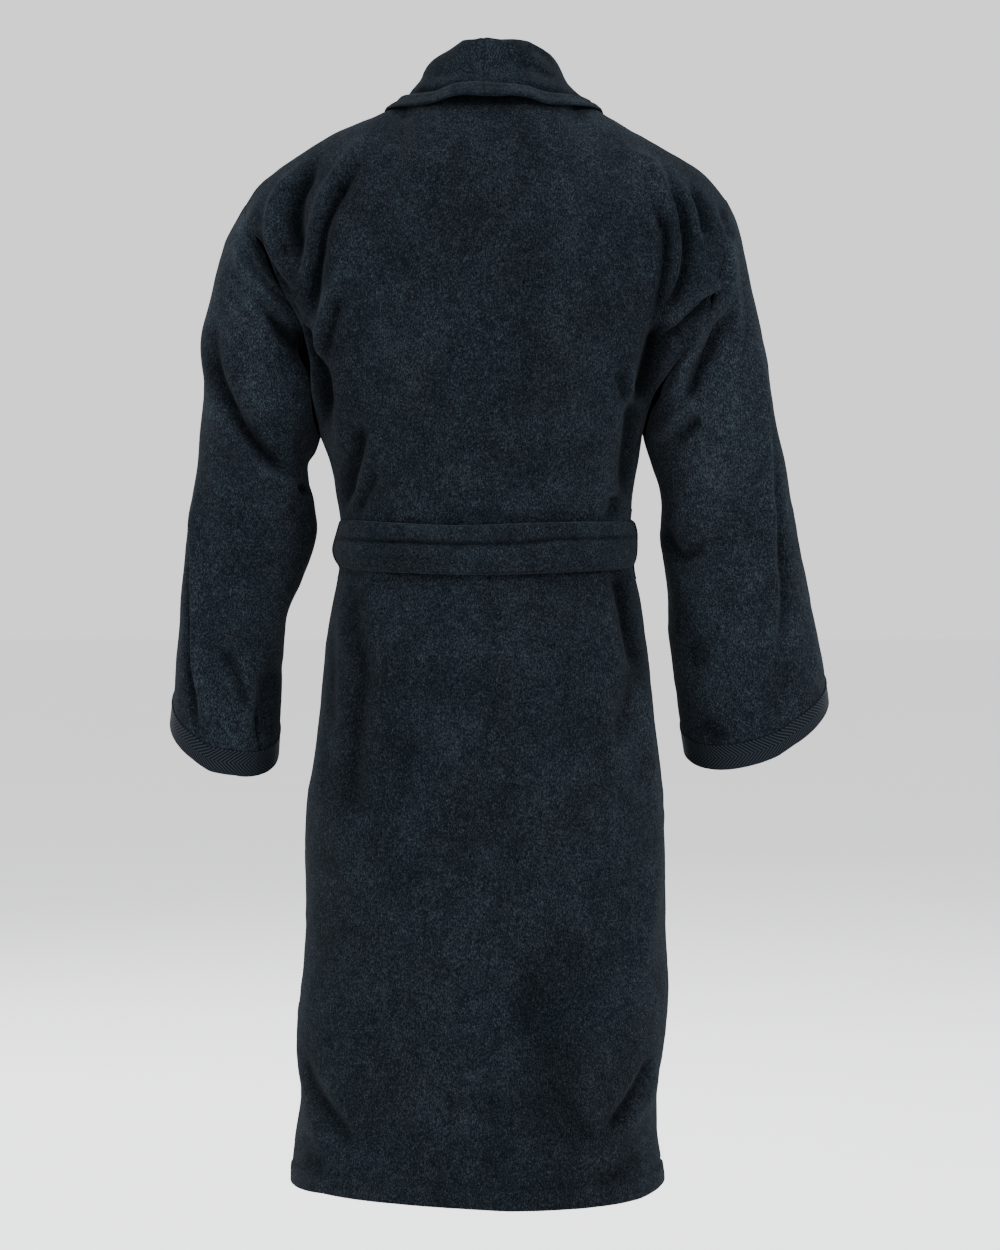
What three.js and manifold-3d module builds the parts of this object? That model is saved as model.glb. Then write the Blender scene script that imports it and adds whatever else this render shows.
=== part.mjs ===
import * as THREE from 'three';
import Module from 'manifold-3d';

const wasm = await Module();
wasm.setup();

// ---------------------------------------------------------------- driving dimensions (mm)
const CLOTH = 4.0;            // thickness of the pile cloth
const SEAM_GAP = 0.6;         // clear gap kept between neighbouring cloth pieces
const HEM_Z = -1133;          // level of the hem below the shoulder origin
const ARMPIT_Z = -338;        // level where side seam meets the armhole
const WAIST_Z = -452;         // centre of the belt
const BELT_W = 48;            // belt width
const BELT_T = 3.4;           // belt thickness
const TAPE_W = 25;            // herringbone tape width
const TAPE_T = 1.4;           // herringbone tape thickness
const OVERLAP = 84;           // front edge reach past the centre line, skirt
const COLLAR_T = 5.2;         // doubled collar cloth
const TAIL_LEN = 385;         // hanging belt end
const POCKET_W = 134, POCKET_H = 178, POCKET_TOP_Z = -570;

const CUFF_TILT = 0.53;       // how far the back of the cuff hangs below its front

// [z, half width on +X, half width on -X, depth back, depth front]
const TORSO = [
  [-1133, 207, 193, 150, 146], [-1090, 204, 186, 150, 147], [-1045, 196, 184, 149, 147],
  [-1000, 202, 191, 148, 147], [-950, 199, 195, 147, 146], [-900, 193, 196, 146, 145],
  [-840, 191, 195, 144, 143], [-780, 192, 195, 142, 141], [-730, 190, 192, 140, 138],
  [-680, 181, 186, 138, 136], [-620, 174, 180, 134, 132], [-570, 170, 175, 129, 127],
  [-520, 162, 168, 120, 121], [-480, 154, 160, 112, 115], [-452, 150, 156, 109, 112],
  [-425, 152, 156, 111, 113], [-390, 158, 160, 117, 118], [-360, 165, 165, 122, 122],
  [-338, 174, 168, 126, 125],
];
const ROUND = 2.35;           // cross-section squareness

// armhole, back half, from the armpit to the shoulder point: x, y, z for the +X side
const ARM_L_BACK = [[174, 0, -338], [180, 40, -296], [184, 60, -248], [198, 67, -204], [224, 66, -162], [245, 45, -116], [254, 0, -90]];
const ARM_L_FRONT = [[174, 0, -338], [178, -40, -298], [184, -60, -250], [200, -66, -206], [224, -65, -160], [245, -44, -115], [254, 0, -90]];
const ARM_R_BACK = [[-168, 0, -338], [-178, 40, -302], [-200, 62, -262], [-228, 68, -222], [-247, 66, -168], [-257, 46, -118], [-258, 0, -88]];
const ARM_R_FRONT = [[-168, 0, -338], [-174, -40, -300], [-188, -60, -252], [-208, -66, -208], [-234, -65, -160], [-253, -44, -114], [-258, 0, -88]];

// shoulder and neck edge, +X side then -X side: x, y, z
const SHOULDER_L = [[254, 0, -90], [237, 0, -66], [197, 0, -38], [158, 0, -15], [104, 0, 8], [78, 0, 18]];
const SHOULDER_R = [[-258, 0, -88], [-230, 0, -57], [-184, 0, -28], [-150, 0, -8], [-122, 0, 6], [-92, 0, 18]];
const NECK_BACK = [[78, 0, 18], [64, 34, 24], [34, 55, 27], [0, 60, 28], [-40, 55, 27], [-76, 34, 24], [-92, 0, 18]];

// sleeve sections: outer x, z, inner x, z, half depth, depth centre
const SLEEVE_L = [
  [254, -90, 174, -338, 64, 0], [271, -123, 179, -354, 65, 0], [283, -160, 186, -368, 66, -1],
  [294, -209, 186, -386, 66, -2], [300, -243, 183, -402, 66, -4], [297, -283, 180, -420, 66, -6],
  [300, -319, 179, -438, 65, -8], [307, -380, 185, -464, 64, -12], [318, -449, 197, -494, 62, -17],
  [325, -509, 212, -529, 61, -22], [328, -565, 215, -577, 60, -27], [331, -612, 218, -630, 60, -31],
  [334, -645, 222, -682, 60, -35],
];
const SLEEVE_R = [
  [-258, -88, -168, -338, 64, 0], [-270, -115, -174, -358, 65, 0], [-276, -147, -179, -374, 66, -1],
  [-286, -192, -185, -392, 67, -2], [-297, -248, -188, -412, 68, -4], [-308, -312, -187, -432, 68, -6],
  [-318, -362, -187, -453, 67, -8], [-333, -434, -193, -482, 66, -12], [-341, -480, -197, -511, 65, -17],
  [-348, -524, -198, -546, 64, -22], [-357, -565, -202, -586, 63, -27], [-363, -600, -209, -626, 62, -31],
  [-367, -632, -215, -676, 62, -35],
];

// collar section centre lines as (outward, up) from the neck edge: centre back and at the shoulder
const COLLAR_BACK = [[1, 5], [-1, 20], [3, 41], [9, 48.5], [16, 44], [23, 14], [37, 0.5], [54, -11]];
const COLLAR_SIDE_L = [[-3, 4], [-12, 13], [-20, 25], [-20, 31], [-15, 31.5], [-9, 19], [6, 9.5], [25, 1.8]];
const COLLAR_SIDE_R = [[-2, 4], [-9, 14], [-16, 30], [-16, 37], [-11, 37.5], [-3, 20], [10, 9.5], [33, 0.5]];

// ---------------------------------------------------------------- small maths
const clamp = (t, a = 0, b = 1) => Math.min(b, Math.max(a, t));
const smooth = (t) => { t = clamp(t); return t * t * (3 - 2 * t); };
const lerp = (a, b, t) => a + (b - a) * t;
const mix = (p, q, t) => p.map((v, i) => lerp(v, q[i], t));
const add = (p, q, s = 1) => p.map((v, i) => v + q[i] * s);
const sub = (p, q) => p.map((v, i) => v - q[i]);
const dot = (p, q) => p[0] * q[0] + p[1] * q[1] + p[2] * q[2];
const cross = (p, q) => [p[1] * q[2] - p[2] * q[1], p[2] * q[0] - p[0] * q[2], p[0] * q[1] - p[1] * q[0]];
const unit = (p) => { const l = Math.hypot(...p) || 1; return p.map((v) => v / l); };

function hermite(p0, p1, p2, p3, t) {
  const t2 = t * t, t3 = t2 * t;
  return p1.map((v, i) => 0.5 * ((2 * p1[i]) + (p2[i] - p0[i]) * t + (2 * p0[i] - 5 * p1[i] + 4 * p2[i] - p3[i]) * t2
    + (-p0[i] + 3 * p1[i] - 3 * p2[i] + p3[i]) * t3));
}
// curve through rows of numbers, t from 0 to 1 over the row index
function along(rows, t) {
  const n = rows.length - 1, s = clamp(t) * n, k = Math.min(n - 1, Math.floor(s)), f = s - k;
  const at = (i) => rows[clamp(i, 0, n)];
  return hermite(at(k - 1), at(k), at(k + 1), at(k + 2), f);
}
// table looked up by its first column
function table(rows, z) {
  if (z <= rows[0][0]) return rows[0].slice(1);
  const n = rows.length - 1;
  if (z >= rows[n][0]) return rows[n].slice(1);
  let k = 0;
  while (rows[k + 1][0] < z) k++;
  const f = (z - rows[k][0]) / (rows[k + 1][0] - rows[k][0]);
  return mix(rows[k].slice(1), rows[k + 1].slice(1), f);
}

// ---------------------------------------------------------------- torso surface
// a runs 0 at the +X side seam to 1 at the -X side seam
function ringPoint(z, a, side) {
  const [wl, wr, db, df] = table(TORSO, z);
  const th = Math.PI * a, c = Math.cos(th), s = Math.sin(th), e = 2 / ROUND;
  const x = Math.sign(c) * Math.pow(Math.abs(c), e) * (c > 0 ? wl : wr);
  const y = Math.pow(Math.max(0, s), e) * (side > 0 ? db : df);
  return [x, side * (y + SEAM_GAP / 2), z];
}
// a for which the ring passes x
function angleAt(z, x) {
  const [wl, wr] = table(TORSO, z), w = x > 0 ? wl : wr;
  const c = Math.pow(clamp(Math.abs(x) / w), ROUND / 2) * Math.sign(x);
  return Math.acos(c) / Math.PI;
}
const WAIST_EDGE_Z = WAIST_Z;
// x of a front edge at height z; sign +1 gives the +X panel's edge, which lies on the -X side
function edgeX(z, sign) {
  if (z <= WAIST_EDGE_Z) return -sign * OVERLAP;
  const neck = sign > 0 ? 78 : 92;
  const t = (z - WAIST_EDGE_Z) / (18 - WAIST_EDGE_Z);
  return sign * lerp(-OVERLAP, neck, Math.pow(t, 0.96));
}
const LOW_Z = [HEM_Z, -1070, -1005, -940, -875, -810, -745, -680, -620, -560, -510, -476, WAIST_Z, -424, -384, ARMPIT_Z];
const ROWS_LOW = LOW_Z.length - 1, ROWS_UP = 12;

// upper part: a patch between four border curves, w runs armpit to shoulder
function patch(bottom, top, left, right, u, w, side, kl, kr) {
  const ay = 1 - Math.pow(1 - Math.pow(w, 3.1), 1 / 3.1);
  const b = bottom(u), t = top(u), b0 = bottom(0), t0 = top(0), b1 = bottom(1), t1 = top(1);
  const m = (p, q) => [lerp(p[0], q[0], w), lerp(p[1], q[1], ay), lerp(p[2], q[2], w)];
  const base = m(b, t), cl = sub(left(w), m(b0, t0)), cr = sub(right(w), m(b1, t1));
  const fl = Math.pow(1 - u, kl), fr = Math.pow(u, kr);
  return base.map((v, i) => v + fl * cl[i] + fr * cr[i]);
}
const yGap = (p, side) => [p[0], p[1] + side * SEAM_GAP / 2, p[2]];

function backPoint(u, w) {            // w <= 0 lower part by height, otherwise patch
  if (w <= 0) return ringPoint(lerp(ARMPIT_Z, HEM_Z, -w), u, 1);
  const neckT = (k) => along(NECK_BACK, k);
  const top = (s) => {
    if (s < 0.3) return yGap(along(SHOULDER_L, s / 0.3), 1);
    if (s > 0.7) return yGap(along(SHOULDER_R, (1 - s) / 0.3), 1);
    return yGap(neckT((s - 0.3) / 0.4), 1);
  };
  return patch((s) => ringPoint(ARMPIT_Z, s, 1), top,
    (q) => yGap(along(ARM_L_BACK, q), 1), (q) => yGap(along(ARM_R_BACK, q), 1), u, w, 1, 3, 3);
}

// front panels: u 0 at the side seam, 1 at the front edge
const CHEST = [[-338, 125], [-280, 128], [-220, 124], [-160, 113], [-100, 92], [-50, 62], [-10, 30], [18, 0]];
function frontBase(u, w, sign) {
  const side = -1;
  const ringA = (z, s) => {
    const ae = angleAt(z, edgeX(z, sign));
    return sign > 0 ? lerp(0, ae, s) : lerp(1, ae, s);
  };
  if (w <= 0) { const z = lerp(ARMPIT_Z, HEM_Z, -w); return ringPoint(z, ringA(z, u), side); }
  const sh = sign > 0 ? SHOULDER_L : SHOULDER_R, arm = sign > 0 ? ARM_L_FRONT : ARM_R_FRONT;
  const bottom = (s) => ringPoint(ARMPIT_Z, ringA(ARMPIT_Z, s), side);
  const top = (s) => yGap(along(sh, s), side);
  const left = (q) => yGap(along(arm, q), side);
  const right = (q) => {
    const z = lerp(ARMPIT_Z, 18, q);
    const b = bottom(1);
    return [edgeX(z, sign), -table(CHEST, z)[0] * (q < 1 ? 1 : 0) * lerp(Math.abs(b[1]) / 125, 1, q) - SEAM_GAP / 2, z];
  };
  return patch(bottom, top, left, right, u, w, side, 3, 1.6);
}
// inward step of the under panel where the outer panel covers it
function underStep(p) {
  const z = p[2], xe = edgeX(z, 1);
  const amount = lerp(9, 22, smooth((z + 500) / 70)) * (1 - smooth((z + 180) / 80));
  return amount * smooth((p[0] - (xe - 64)) / 44);
}

// ---------------------------------------------------------------- grids to closed solids
// grid[i][j] of points, i across, j up
function normals(grid, wrap) {
  const n = grid.length, m = grid[0].length;
  return grid.map((col, i) => col.map((p, j) => {
    const ia = wrap ? (i - 1 + n) % n : Math.max(0, i - 1), ib = wrap ? (i + 1) % n : Math.min(n - 1, i + 1);
    const ja = Math.max(0, j - 1), jb = Math.min(m - 1, j + 1);
    return unit(cross(sub(grid[ib][j], grid[ia][j]), sub(grid[i][jb], grid[i][ja])));
  }));
}
function shell(grid, out0, out1, opt = {}) {
  // surfaces at signed offsets out0 (inner) and out1 (outer) along the grid normals times opt.flip
  const wrap = !!opt.wrap, f = opt.flip ? -1 : 1;
  const nr = opt.normals || normals(grid, wrap);
  const n = grid.length, m = grid[0].length, pos = [], idx = [];
  const val = (o, i, j) => (typeof o === 'function' ? o(i, j) : o);
  for (const o of [out1, out0]) for (let i = 0; i < n; i++) for (let j = 0; j < m; j++)
    pos.push(...add(grid[i][j], nr[i][j], f * val(o, i, j)));
  const A = (i, j) => (wrap ? i % n : i) * m + j, B = (i, j) => n * m + A(i, j);
  const quad = (a, b, c, d) => { idx.push(a, b, c, a, c, d); };
  const ni = wrap ? n : n - 1;
  for (let i = 0; i < ni; i++) for (let j = 0; j < m - 1; j++) {
    quad(A(i, j), A(i + 1, j), A(i + 1, j + 1), A(i, j + 1));
    quad(B(i, j), B(i, j + 1), B(i + 1, j + 1), B(i + 1, j));
  }
  for (let i = 0; i < ni; i++) {
    quad(A(i + 1, 0), A(i, 0), B(i, 0), B(i + 1, 0));
    quad(A(i, m - 1), A(i + 1, m - 1), B(i + 1, m - 1), B(i, m - 1));
  }
  if (!wrap) for (let j = 0; j < m - 1; j++) {
    quad(A(0, j), A(0, j + 1), B(0, j + 1), B(0, j));
    quad(A(n - 1, j + 1), A(n - 1, j), B(n - 1, j), B(n - 1, j + 1));
  }
  return toGeometry(pos, idx);
}
function toGeometry(pos, idx) {
  // turn the faces out if the enclosed volume is negative
  let v = 0;
  for (let k = 0; k < idx.length; k += 3) {
    const [a, b, c] = [0, 1, 2].map((q) => pos.slice(3 * idx[k + q], 3 * idx[k + q] + 3));
    v += dot(a, cross(b, c));
  }
  if (v < 0) for (let k = 0; k < idx.length; k += 3) [idx[k + 1], idx[k + 2]] = [idx[k + 2], idx[k + 1]];
  const g = new THREE.BufferGeometry();
  g.setAttribute('position', new THREE.Float32BufferAttribute(pos, 3));
  g.setIndex(idx);
  return g;
}
// closed tube through closed rings (each a list of points), capped at both ends with fans
function skin(rings, closedPath = false) {
  const m = rings[0].length, pos = [], idx = [];
  for (const r of rings) for (const p of r) pos.push(...p);
  const R = rings.length, at = (i, j) => (i % R) * m + (j % m);
  const last = closedPath ? R : R - 1;
  for (let i = 0; i < last; i++) for (let j = 0; j < m; j++) {
    idx.push(at(i, j), at(i + 1, j), at(i + 1, j + 1), at(i, j), at(i + 1, j + 1), at(i, j + 1));
  }
  if (!closedPath) {
    // ribbon caps: rings are made of two facing rows, so a strip closes them
    const h = m / 2;
    for (const [i, s] of [[0, 1], [R - 1, -1]]) for (let j = 0; j < h - 1; j++) {
      const q = [at(i, j), at(i, j + 1), at(i, m - 2 - j), at(i, m - 1 - j)];
      if (s > 0) idx.push(q[0], q[1], q[2], q[0], q[2], q[3]);
      else idx.push(q[0], q[2], q[1], q[0], q[3], q[2]);
    }
  }
  return toGeometry(pos, idx);
}
function toManifold(geo) {
  const p = geo.getAttribute('position').array, i = geo.getIndex().array;
  const mesh = new wasm.Mesh({ numProp: 3, vertProperties: new Float32Array(p), triVerts: new Uint32Array(i) });
  mesh.merge();
  return new wasm.Manifold(mesh);
}
function fromManifold(man) {
  const m = man.getMesh(), g = new THREE.BufferGeometry();
  const np = m.numProp, n = m.vertProperties.length / np, pos = new Float32Array(n * 3);
  for (let k = 0; k < n; k++) for (let q = 0; q < 3; q++) pos[3 * k + q] = m.vertProperties[np * k + q];
  g.setAttribute('position', new THREE.BufferAttribute(pos, 3));
  g.setIndex(Array.from(m.triVerts));
  return g;
}
// closed box between eight corners given as low ring and high ring of four points
function prism(low, high) {
  const pos = [...low, ...high].flat(), n = low.length, idx = [];
  for (let i = 0; i < n; i++) { const j = (i + 1) % n; idx.push(i, j, n + j, i, n + j, n + i); }
  for (let i = 1; i < n - 1; i++) { idx.push(0, i + 1, i); idx.push(n, n + i, n + i + 1); }
  return toGeometry(pos, idx);
}

// ---------------------------------------------------------------- panels
const wList = [];
for (const z of LOW_Z) wList.push(-(ARMPIT_Z - z) / (ARMPIT_Z - HEM_Z));
wList[ROWS_LOW] = 0;
for (let i = 1; i <= ROWS_UP; i++) wList.push(Math.sin((i / ROWS_UP) * Math.PI / 2 * 0.94) / Math.sin(Math.PI / 2 * 0.94));

function makeGrid(fn, nu, ws, u0 = 0, u1 = 1) {
  const g = [];
  for (let i = 0; i <= nu; i++) { const u = lerp(u0, u1, i / nu); g.push(ws.map((w) => fn(u, w))); }
  return g;
}
const backGrid = makeGrid(backPoint, 24, wList);
const backNormals = normals(backGrid, false);

const frontLeftGrid = makeGrid((u, w) => frontBase(u, w, 1), 18, wList);
const frontRightRaw = makeGrid((u, w) => frontBase(u, w, -1), 18, wList);
const frNorm = normals(frontRightRaw, false);
const outSign = (grid, nr) => {
  // +1 when grid normals point away from the middle of the body
  const i = Math.floor(grid.length / 2), j = 6;
  return Math.sign(dot(nr[i][j], [grid[i][j][0], grid[i][j][1], 0]));
};
const frSign = outSign(frontRightRaw, frNorm);
const frontRightGrid = frontRightRaw.map((col, i) => col.map((p, j) => add(p, frNorm[i][j], -frSign * underStep(p))));

const panelSolid = (grid, nr0) => {
  const nr = nr0 || normals(grid, false), s = outSign(grid, nr);
  // seam edges on the side and shoulder are squared to the seam plane
  const sq = nr.map((c, i) => c.map((v, j) => (Math.abs(grid[i][j][1]) < 1.2 ? unit([v[0], 0, v[2]]) : v)));
  return shell(grid, -CLOTH * s, 0, { normals: sq });
};

// ---------------------------------------------------------------- sleeves
const RING_N = 32;
function sleeveRing(rows, armB, armF, t, shift) {
  const [ox, oz, ix, iz, d, yc] = along(rows, t);
  const pts = [], e = 2 / 2.15;
  const first = smooth(1 - t / 0.24);
  const sgn = Math.sign(rows[0][0]);
  const na = unit([sgn * 248, 0, -80]);
  for (let k = 0; k < RING_N; k++) {
    const ph = (2 * Math.PI * k) / RING_N, c = Math.cos(ph), s = Math.sin(ph);
    const cc = Math.sign(c) * Math.pow(Math.abs(c), e), ss = Math.sign(s) * Math.pow(Math.abs(s), e);
    // the back of the cuff hangs lower than its front, as on a forearm held a little forward
    const q = [(ox + ix) / 2 + (ox - ix) / 2 * cc, yc + d * ss, (oz + iz) / 2 + (oz - iz) / 2 * cc - d * ss * CUFF_TILT * smooth((t - 0.45) / 0.5)];
    // matching place on the armhole: ph 0 top, pi at the armpit
    const f = ph <= Math.PI ? 1 - ph / Math.PI : (ph - Math.PI) / Math.PI;
    const arm = along(ph <= Math.PI ? armB : armF, f);
    const [o0x, o0z, i0x, i0z, d0, y0] = rows[0];
    const q0 = [(o0x + i0x) / 2 + (o0x - i0x) / 2 * cc, y0 + d0 * ss, (o0z + i0z) / 2 + (o0z - i0z) / 2 * cc];
    const p = add(q, sub(arm, q0), first);
    pts.push(add(p, na, shift));
  }
  return pts;
}
function sleeveGrid(rows, armB, armF, ts, shift = 1.3) {
  const rings = ts.map((t) => sleeveRing(rows, armB, armF, t, shift * smooth(1 - t * 3)));
  return Array.from({ length: RING_N }, (_, k) => rings.map((r) => r[k]));
}
const SLEEVE_TS = Array.from({ length: 20 }, (_, i) => i / 19);
function sleeveNormals(grid, rows, armB, armF) {
  const nr = normals(grid, true);
  // the open end at the armhole is squared to the armhole's own plane
  const c = [0, 0, 0];
  for (const col of grid) for (let q = 0; q < 3; q++) c[q] += col[0][q] / grid.length;
  const sgn = Math.sign(rows[0][0]), na = unit([sgn * 248, 0, -80]);
  const probe = Math.sign(dot(nr[8][12], sub(grid[8][12], grid[24][12])));
  grid.forEach((col, k) => {
    let d = sub(col[0], c);
    d = unit(add(d, na, -dot(d, na)));
    nr[k][0] = d.map((v) => v * probe);
  });
  return { nr, sign: probe };
}
function sleeveSolids(rows, armB, armF) {
  const grid = sleeveGrid(rows, armB, armF, SLEEVE_TS);
  const { nr, sign } = sleeveNormals(grid, rows, armB, armF);
  const body = shell(grid, -CLOTH * sign, 0, { normals: nr, wrap: true });
  // tape around the last stretch of the sleeve, following its surface
  const fine = sleeveGrid(rows, armB, armF, Array.from({ length: 5 }, (_, i) => 0.94 + 0.06 * i / 4));
  const col = fine.map((c) => {
    // walk up the sleeve by the tape width
    const end = c[c.length - 1], dir = unit(sub(c[0], end));
    return Array.from({ length: 4 }, (_, j) => add(end, dir, TAPE_W * (1 - j / 3)));
  });
  const tn = normals(col, true);
  const ts = Math.sign(dot(tn[8][1], sub(col[8][1], col[24][1])));
  const tape = shell(col, 0.9 * ts, (0.9 + TAPE_T) * ts, { normals: tn, wrap: true });
  return { body, tape };
}

// ---------------------------------------------------------------- collar halves
function ribbon(centre, outDir, t) {
  // closed ring around a centre line: one row on each side, thickness t
  const n = centre.length, a = [], b = [];
  for (let i = 0; i < n; i++) {
    const d = unit(sub(centre[Math.min(n - 1, i + 1)], centre[Math.max(0, i - 1)]));
    const nn = unit(cross(d, outDir));
    const h = (i === 0 || i === n - 1) ? t * 0.32 : t / 2;
    a.push(add(centre[i], nn, h)); b.push(add(centre[i], nn, -h));
  }
  return [...a, ...b.reverse()];
}
const refine = (pts, n) => Array.from({ length: n }, (_, i) => along(pts, i / (n - 1)));
const COL_N = 17;
function collarHalf(sign) {
  const rings = [];
  const rx = sign > 0 ? 78 : 92, side = sign > 0 ? COLLAR_SIDE_L : COLLAR_SIDE_R;
  // centre back to the shoulder
  const K = 9;
  for (let k = 0; k <= K; k++) {
    const al = (Math.PI / 2) * (1 - k / K), f = smooth(k / K) * 0.45 + 0.55 * (k / K);
    const q = along(NECK_BACK, sign > 0 ? 0.5 * (1 - k / K) : 0.5 + 0.5 * (k / K));
    if (k === 0) q[0] = sign * (SEAM_GAP * 0.5 + 0.2);
    const o = k === 0 ? [0, 1, 0] : unit([sign * Math.cos(al) / rx, Math.sin(al) / 60, 0]);
    const prof = COLLAR_BACK.map((p, i) => mix(p, side[i], f));
    const line = refine(prof, COL_N).map(([r, h]) => [q[0] + o[0] * r, q[1] + o[1] * r, q[2] + h]);
    rings.push(ribbon(line, unit(cross([0, 0, 1], o)), COLLAR_T));
  }
  // down the front: sections follow the panel's own rows
  const src = sign > 0 ? frontLeftGrid : frontRightGrid;
  const nr = normals(src, false), sg = outSign(src, nr);
  const rowsUp = wList.length - 1;
  const stations = [];
  for (let j = rowsUp - 3; j >= LOW_Z.indexOf(WAIST_Z); j--) stations.push(j);
  const jTop = stations[0], jEnd = stations[stations.length - 1];
  for (const j of stations) {
    const t = (jTop - j) / (jTop - jEnd);
    const row = src.map((c) => c[j]).reverse(), rn = nr.map((c) => c[j].map((v) => v * sg)).reverse();
    const width = lerp(62, 92, smooth(t / 0.35)) - 26 * smooth((t - 0.6) / 0.4);
    const h = lerp(17, 0.6, smooth(t / 0.42)), z = row[0][2];
    // the lapel thins where it runs in under the belt
    const thin = smooth((-386 - z) / 36), th = lerp(COLLAR_T, 2.6, thin), low = lerp(1, 0.36, thin);
    const lift = 3 * (1 - smooth(t / 0.25)) + (sign < 0 ? 2.2 * (1 - thin) : 0);
    // distance along the row from the edge
    const at = (d) => {
      if (d <= 0) { const e = unit(sub(row[0], row[1])); return [add(row[0], e, -d), rn[0]]; }
      let s = 0;
      for (let i = 0; i < row.length - 1; i++) {
        const l = Math.hypot(...sub(row[i + 1], row[i]));
        if (s + l >= d) { const f = (d - s) / l; return [mix(row[i], row[i + 1], f), unit(mix(rn[i], rn[i + 1], f))]; }
        s += l;
      }
      return [row[row.length - 1], rn[rn.length - 1]];
    };
    const prof = [[-4.4, -1.5 * low], [-5.6, 2 + 0.3 * h], [-4, (5.4 + 0.85 * h) * low], [1, (7.2 + h) * low], [9, (7.2 + 0.9 * h) * low], [0.36 * width, (6.4 + 0.35 * h) * low + lift], [0.7 * width, 6.2 * low + lift], [width, 6.2 * low + lift]];
    const line = refine(prof, COL_N).map(([d, hgt]) => { const [p, n] = at(d); return add(p, n, hgt); });
    const e = unit(sub(src[src.length - 1][Math.max(0, j - 1)], src[src.length - 1][Math.min(rowsUp, j + 1)]));
    rings.push(ribbon(line, e, th));
  }
  return rings;
}
// keep the two rows of each ribbon on the same sides along the whole collar
function collarSolid(sign) {
  const rings = collarHalf(sign);
  for (let k = 1; k < rings.length; k++) {
    const m = rings[k].length, h = m / 2, a = rings[k], p = rings[k - 1];
    const same = Math.hypot(...sub(sub(a[8], a[m - 9]), sub(p[8], p[m - 9])));
    const flip = Math.hypot(...sub(sub(a[m - 9], a[8]), sub(p[8], p[m - 9])));
    if (flip < same) rings[k] = [...a.slice(h).reverse(), ...a.slice(0, h).reverse()];
  }
  return skin(rings);
}

// ---------------------------------------------------------------- belt
function beltRing(z0, z1, o0, o1) {
  const n = 48, grid = [];
  for (let k = 0; k < n; k++) {
    const a = (2 * k) / n, side = a < 1 ? 1 : -1, s = a < 1 ? a : 2 - a;
    const col = [];
    for (let j = 0; j <= 3; j++) {
      // it lies closer at the -X side, where the body leans into it
      const p = ringPoint(lerp(z0, z1, j / 3), s, side), w = ringPoint(WAIST_Z, s, side);
      col.push([w[0] + 3 * smooth(1 - Math.abs(a - 1) / 0.22), w[1], p[2]]);
    }
    grid.push(col);
  }
  // outward direction level, from the ring itself
  const nr = grid.map((c, i) => {
    const a = grid[(i - 1 + n) % n][0], b = grid[(i + 1) % n][0], d = sub(b, a);
    const o = unit([d[1], -d[0], 0]);
    const s = Math.sign(o[0] * c[0][0] + o[1] * c[0][1]) || 1;
    return c.map(() => o.map((v) => v * s));
  });
  return shell(grid, o0, o1, { normals: nr, wrap: true });
}
const BELT_IN = 7.0, BELT_OUT = BELT_IN + BELT_T;
const belt = beltRing(WAIST_Z - BELT_W / 2, WAIST_Z + BELT_W / 2, BELT_IN, BELT_OUT);

function softBlock(cx, cy, cz, hx, hy, hz, e = 0.55) {
  const n = 24, m = 14, pos = [], idx = [];
  const pw = (v, q) => Math.sign(v) * Math.pow(Math.abs(v), q);
  for (let j = 1; j < m; j++) {
    const ph = -Math.PI / 2 + Math.PI * j / m;
    for (let i = 0; i < n; i++) {
      const th = 2 * Math.PI * i / n;
      pos.push(cx + hx * pw(Math.cos(ph), e) * pw(Math.cos(th), e), cy + hy * pw(Math.cos(ph), e) * pw(Math.sin(th), e), cz + hz * pw(Math.sin(ph), e));
    }
  }
  const bot = pos.length / 3; pos.push(cx, cy, cz - hz); const top = bot + 1; pos.push(cx, cy, cz + hz);
  for (let j = 0; j < m - 2; j++) for (let i = 0; i < n; i++) {
    const k = (i + 1) % n;
    idx.push(j * n + i, j * n + k, (j + 1) * n + k, j * n + i, (j + 1) * n + k, (j + 1) * n + i);
  }
  for (let i = 0; i < n; i++) { const k = (i + 1) % n; idx.push(bot, k, i, top, (m - 2) * n + i, (m - 2) * n + k); }
  return toGeometry(pos, idx);
}
const KNOT_X = 26;
const waistFront = Math.abs(ringPoint(WAIST_Z, 0.5, -1)[1]) + BELT_OUT;
const knot = softBlock(KNOT_X, -(waistFront + 0.8 + 15), WAIST_Z, 31, 15, 27, 0.6);

function tail(x0, x1, zTop, len, off, lean) {
  // strip hanging in front of the skirt; lean shifts x by the end
  const rows = 20, a = [], pts = (z) => {
    let y = 0;
    for (let q = 0; q <= 4; q++) { const x = lerp(x0, x1, q / 4); y = Math.max(y, Math.abs(ringPoint(z, angleAt(z, x), -1)[1])); }
    return y + off;
  };
  const ymin = waistFront + 6, ring = [];
  let ymax = 0;
  for (let j = 0; j <= rows; j++) {
    const z = zTop - len * j / rows;
    ymax = Math.max(ymax, pts(z), ymin);
    const dx = lean * smooth(j / rows);
    ring.push([[x0 + dx, -ymax, z], [x1 + dx, -ymax, z], [x1 + dx, -ymax - BELT_T, z], [x0 + dx, -ymax - BELT_T, z]]);
  }
  return skin(ring.map((r) => r));
}
const TAIL_TOP = WAIST_Z - 28;
const tailLeft = tail(KNOT_X + 1.5, KNOT_X + 1.5 + 44, TAIL_TOP, TAIL_LEN, 9, 12);
const tailRight = tail(KNOT_X - 45.5, KNOT_X - 1.5, TAIL_TOP, TAIL_LEN * 0.93, 9, -6);

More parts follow.
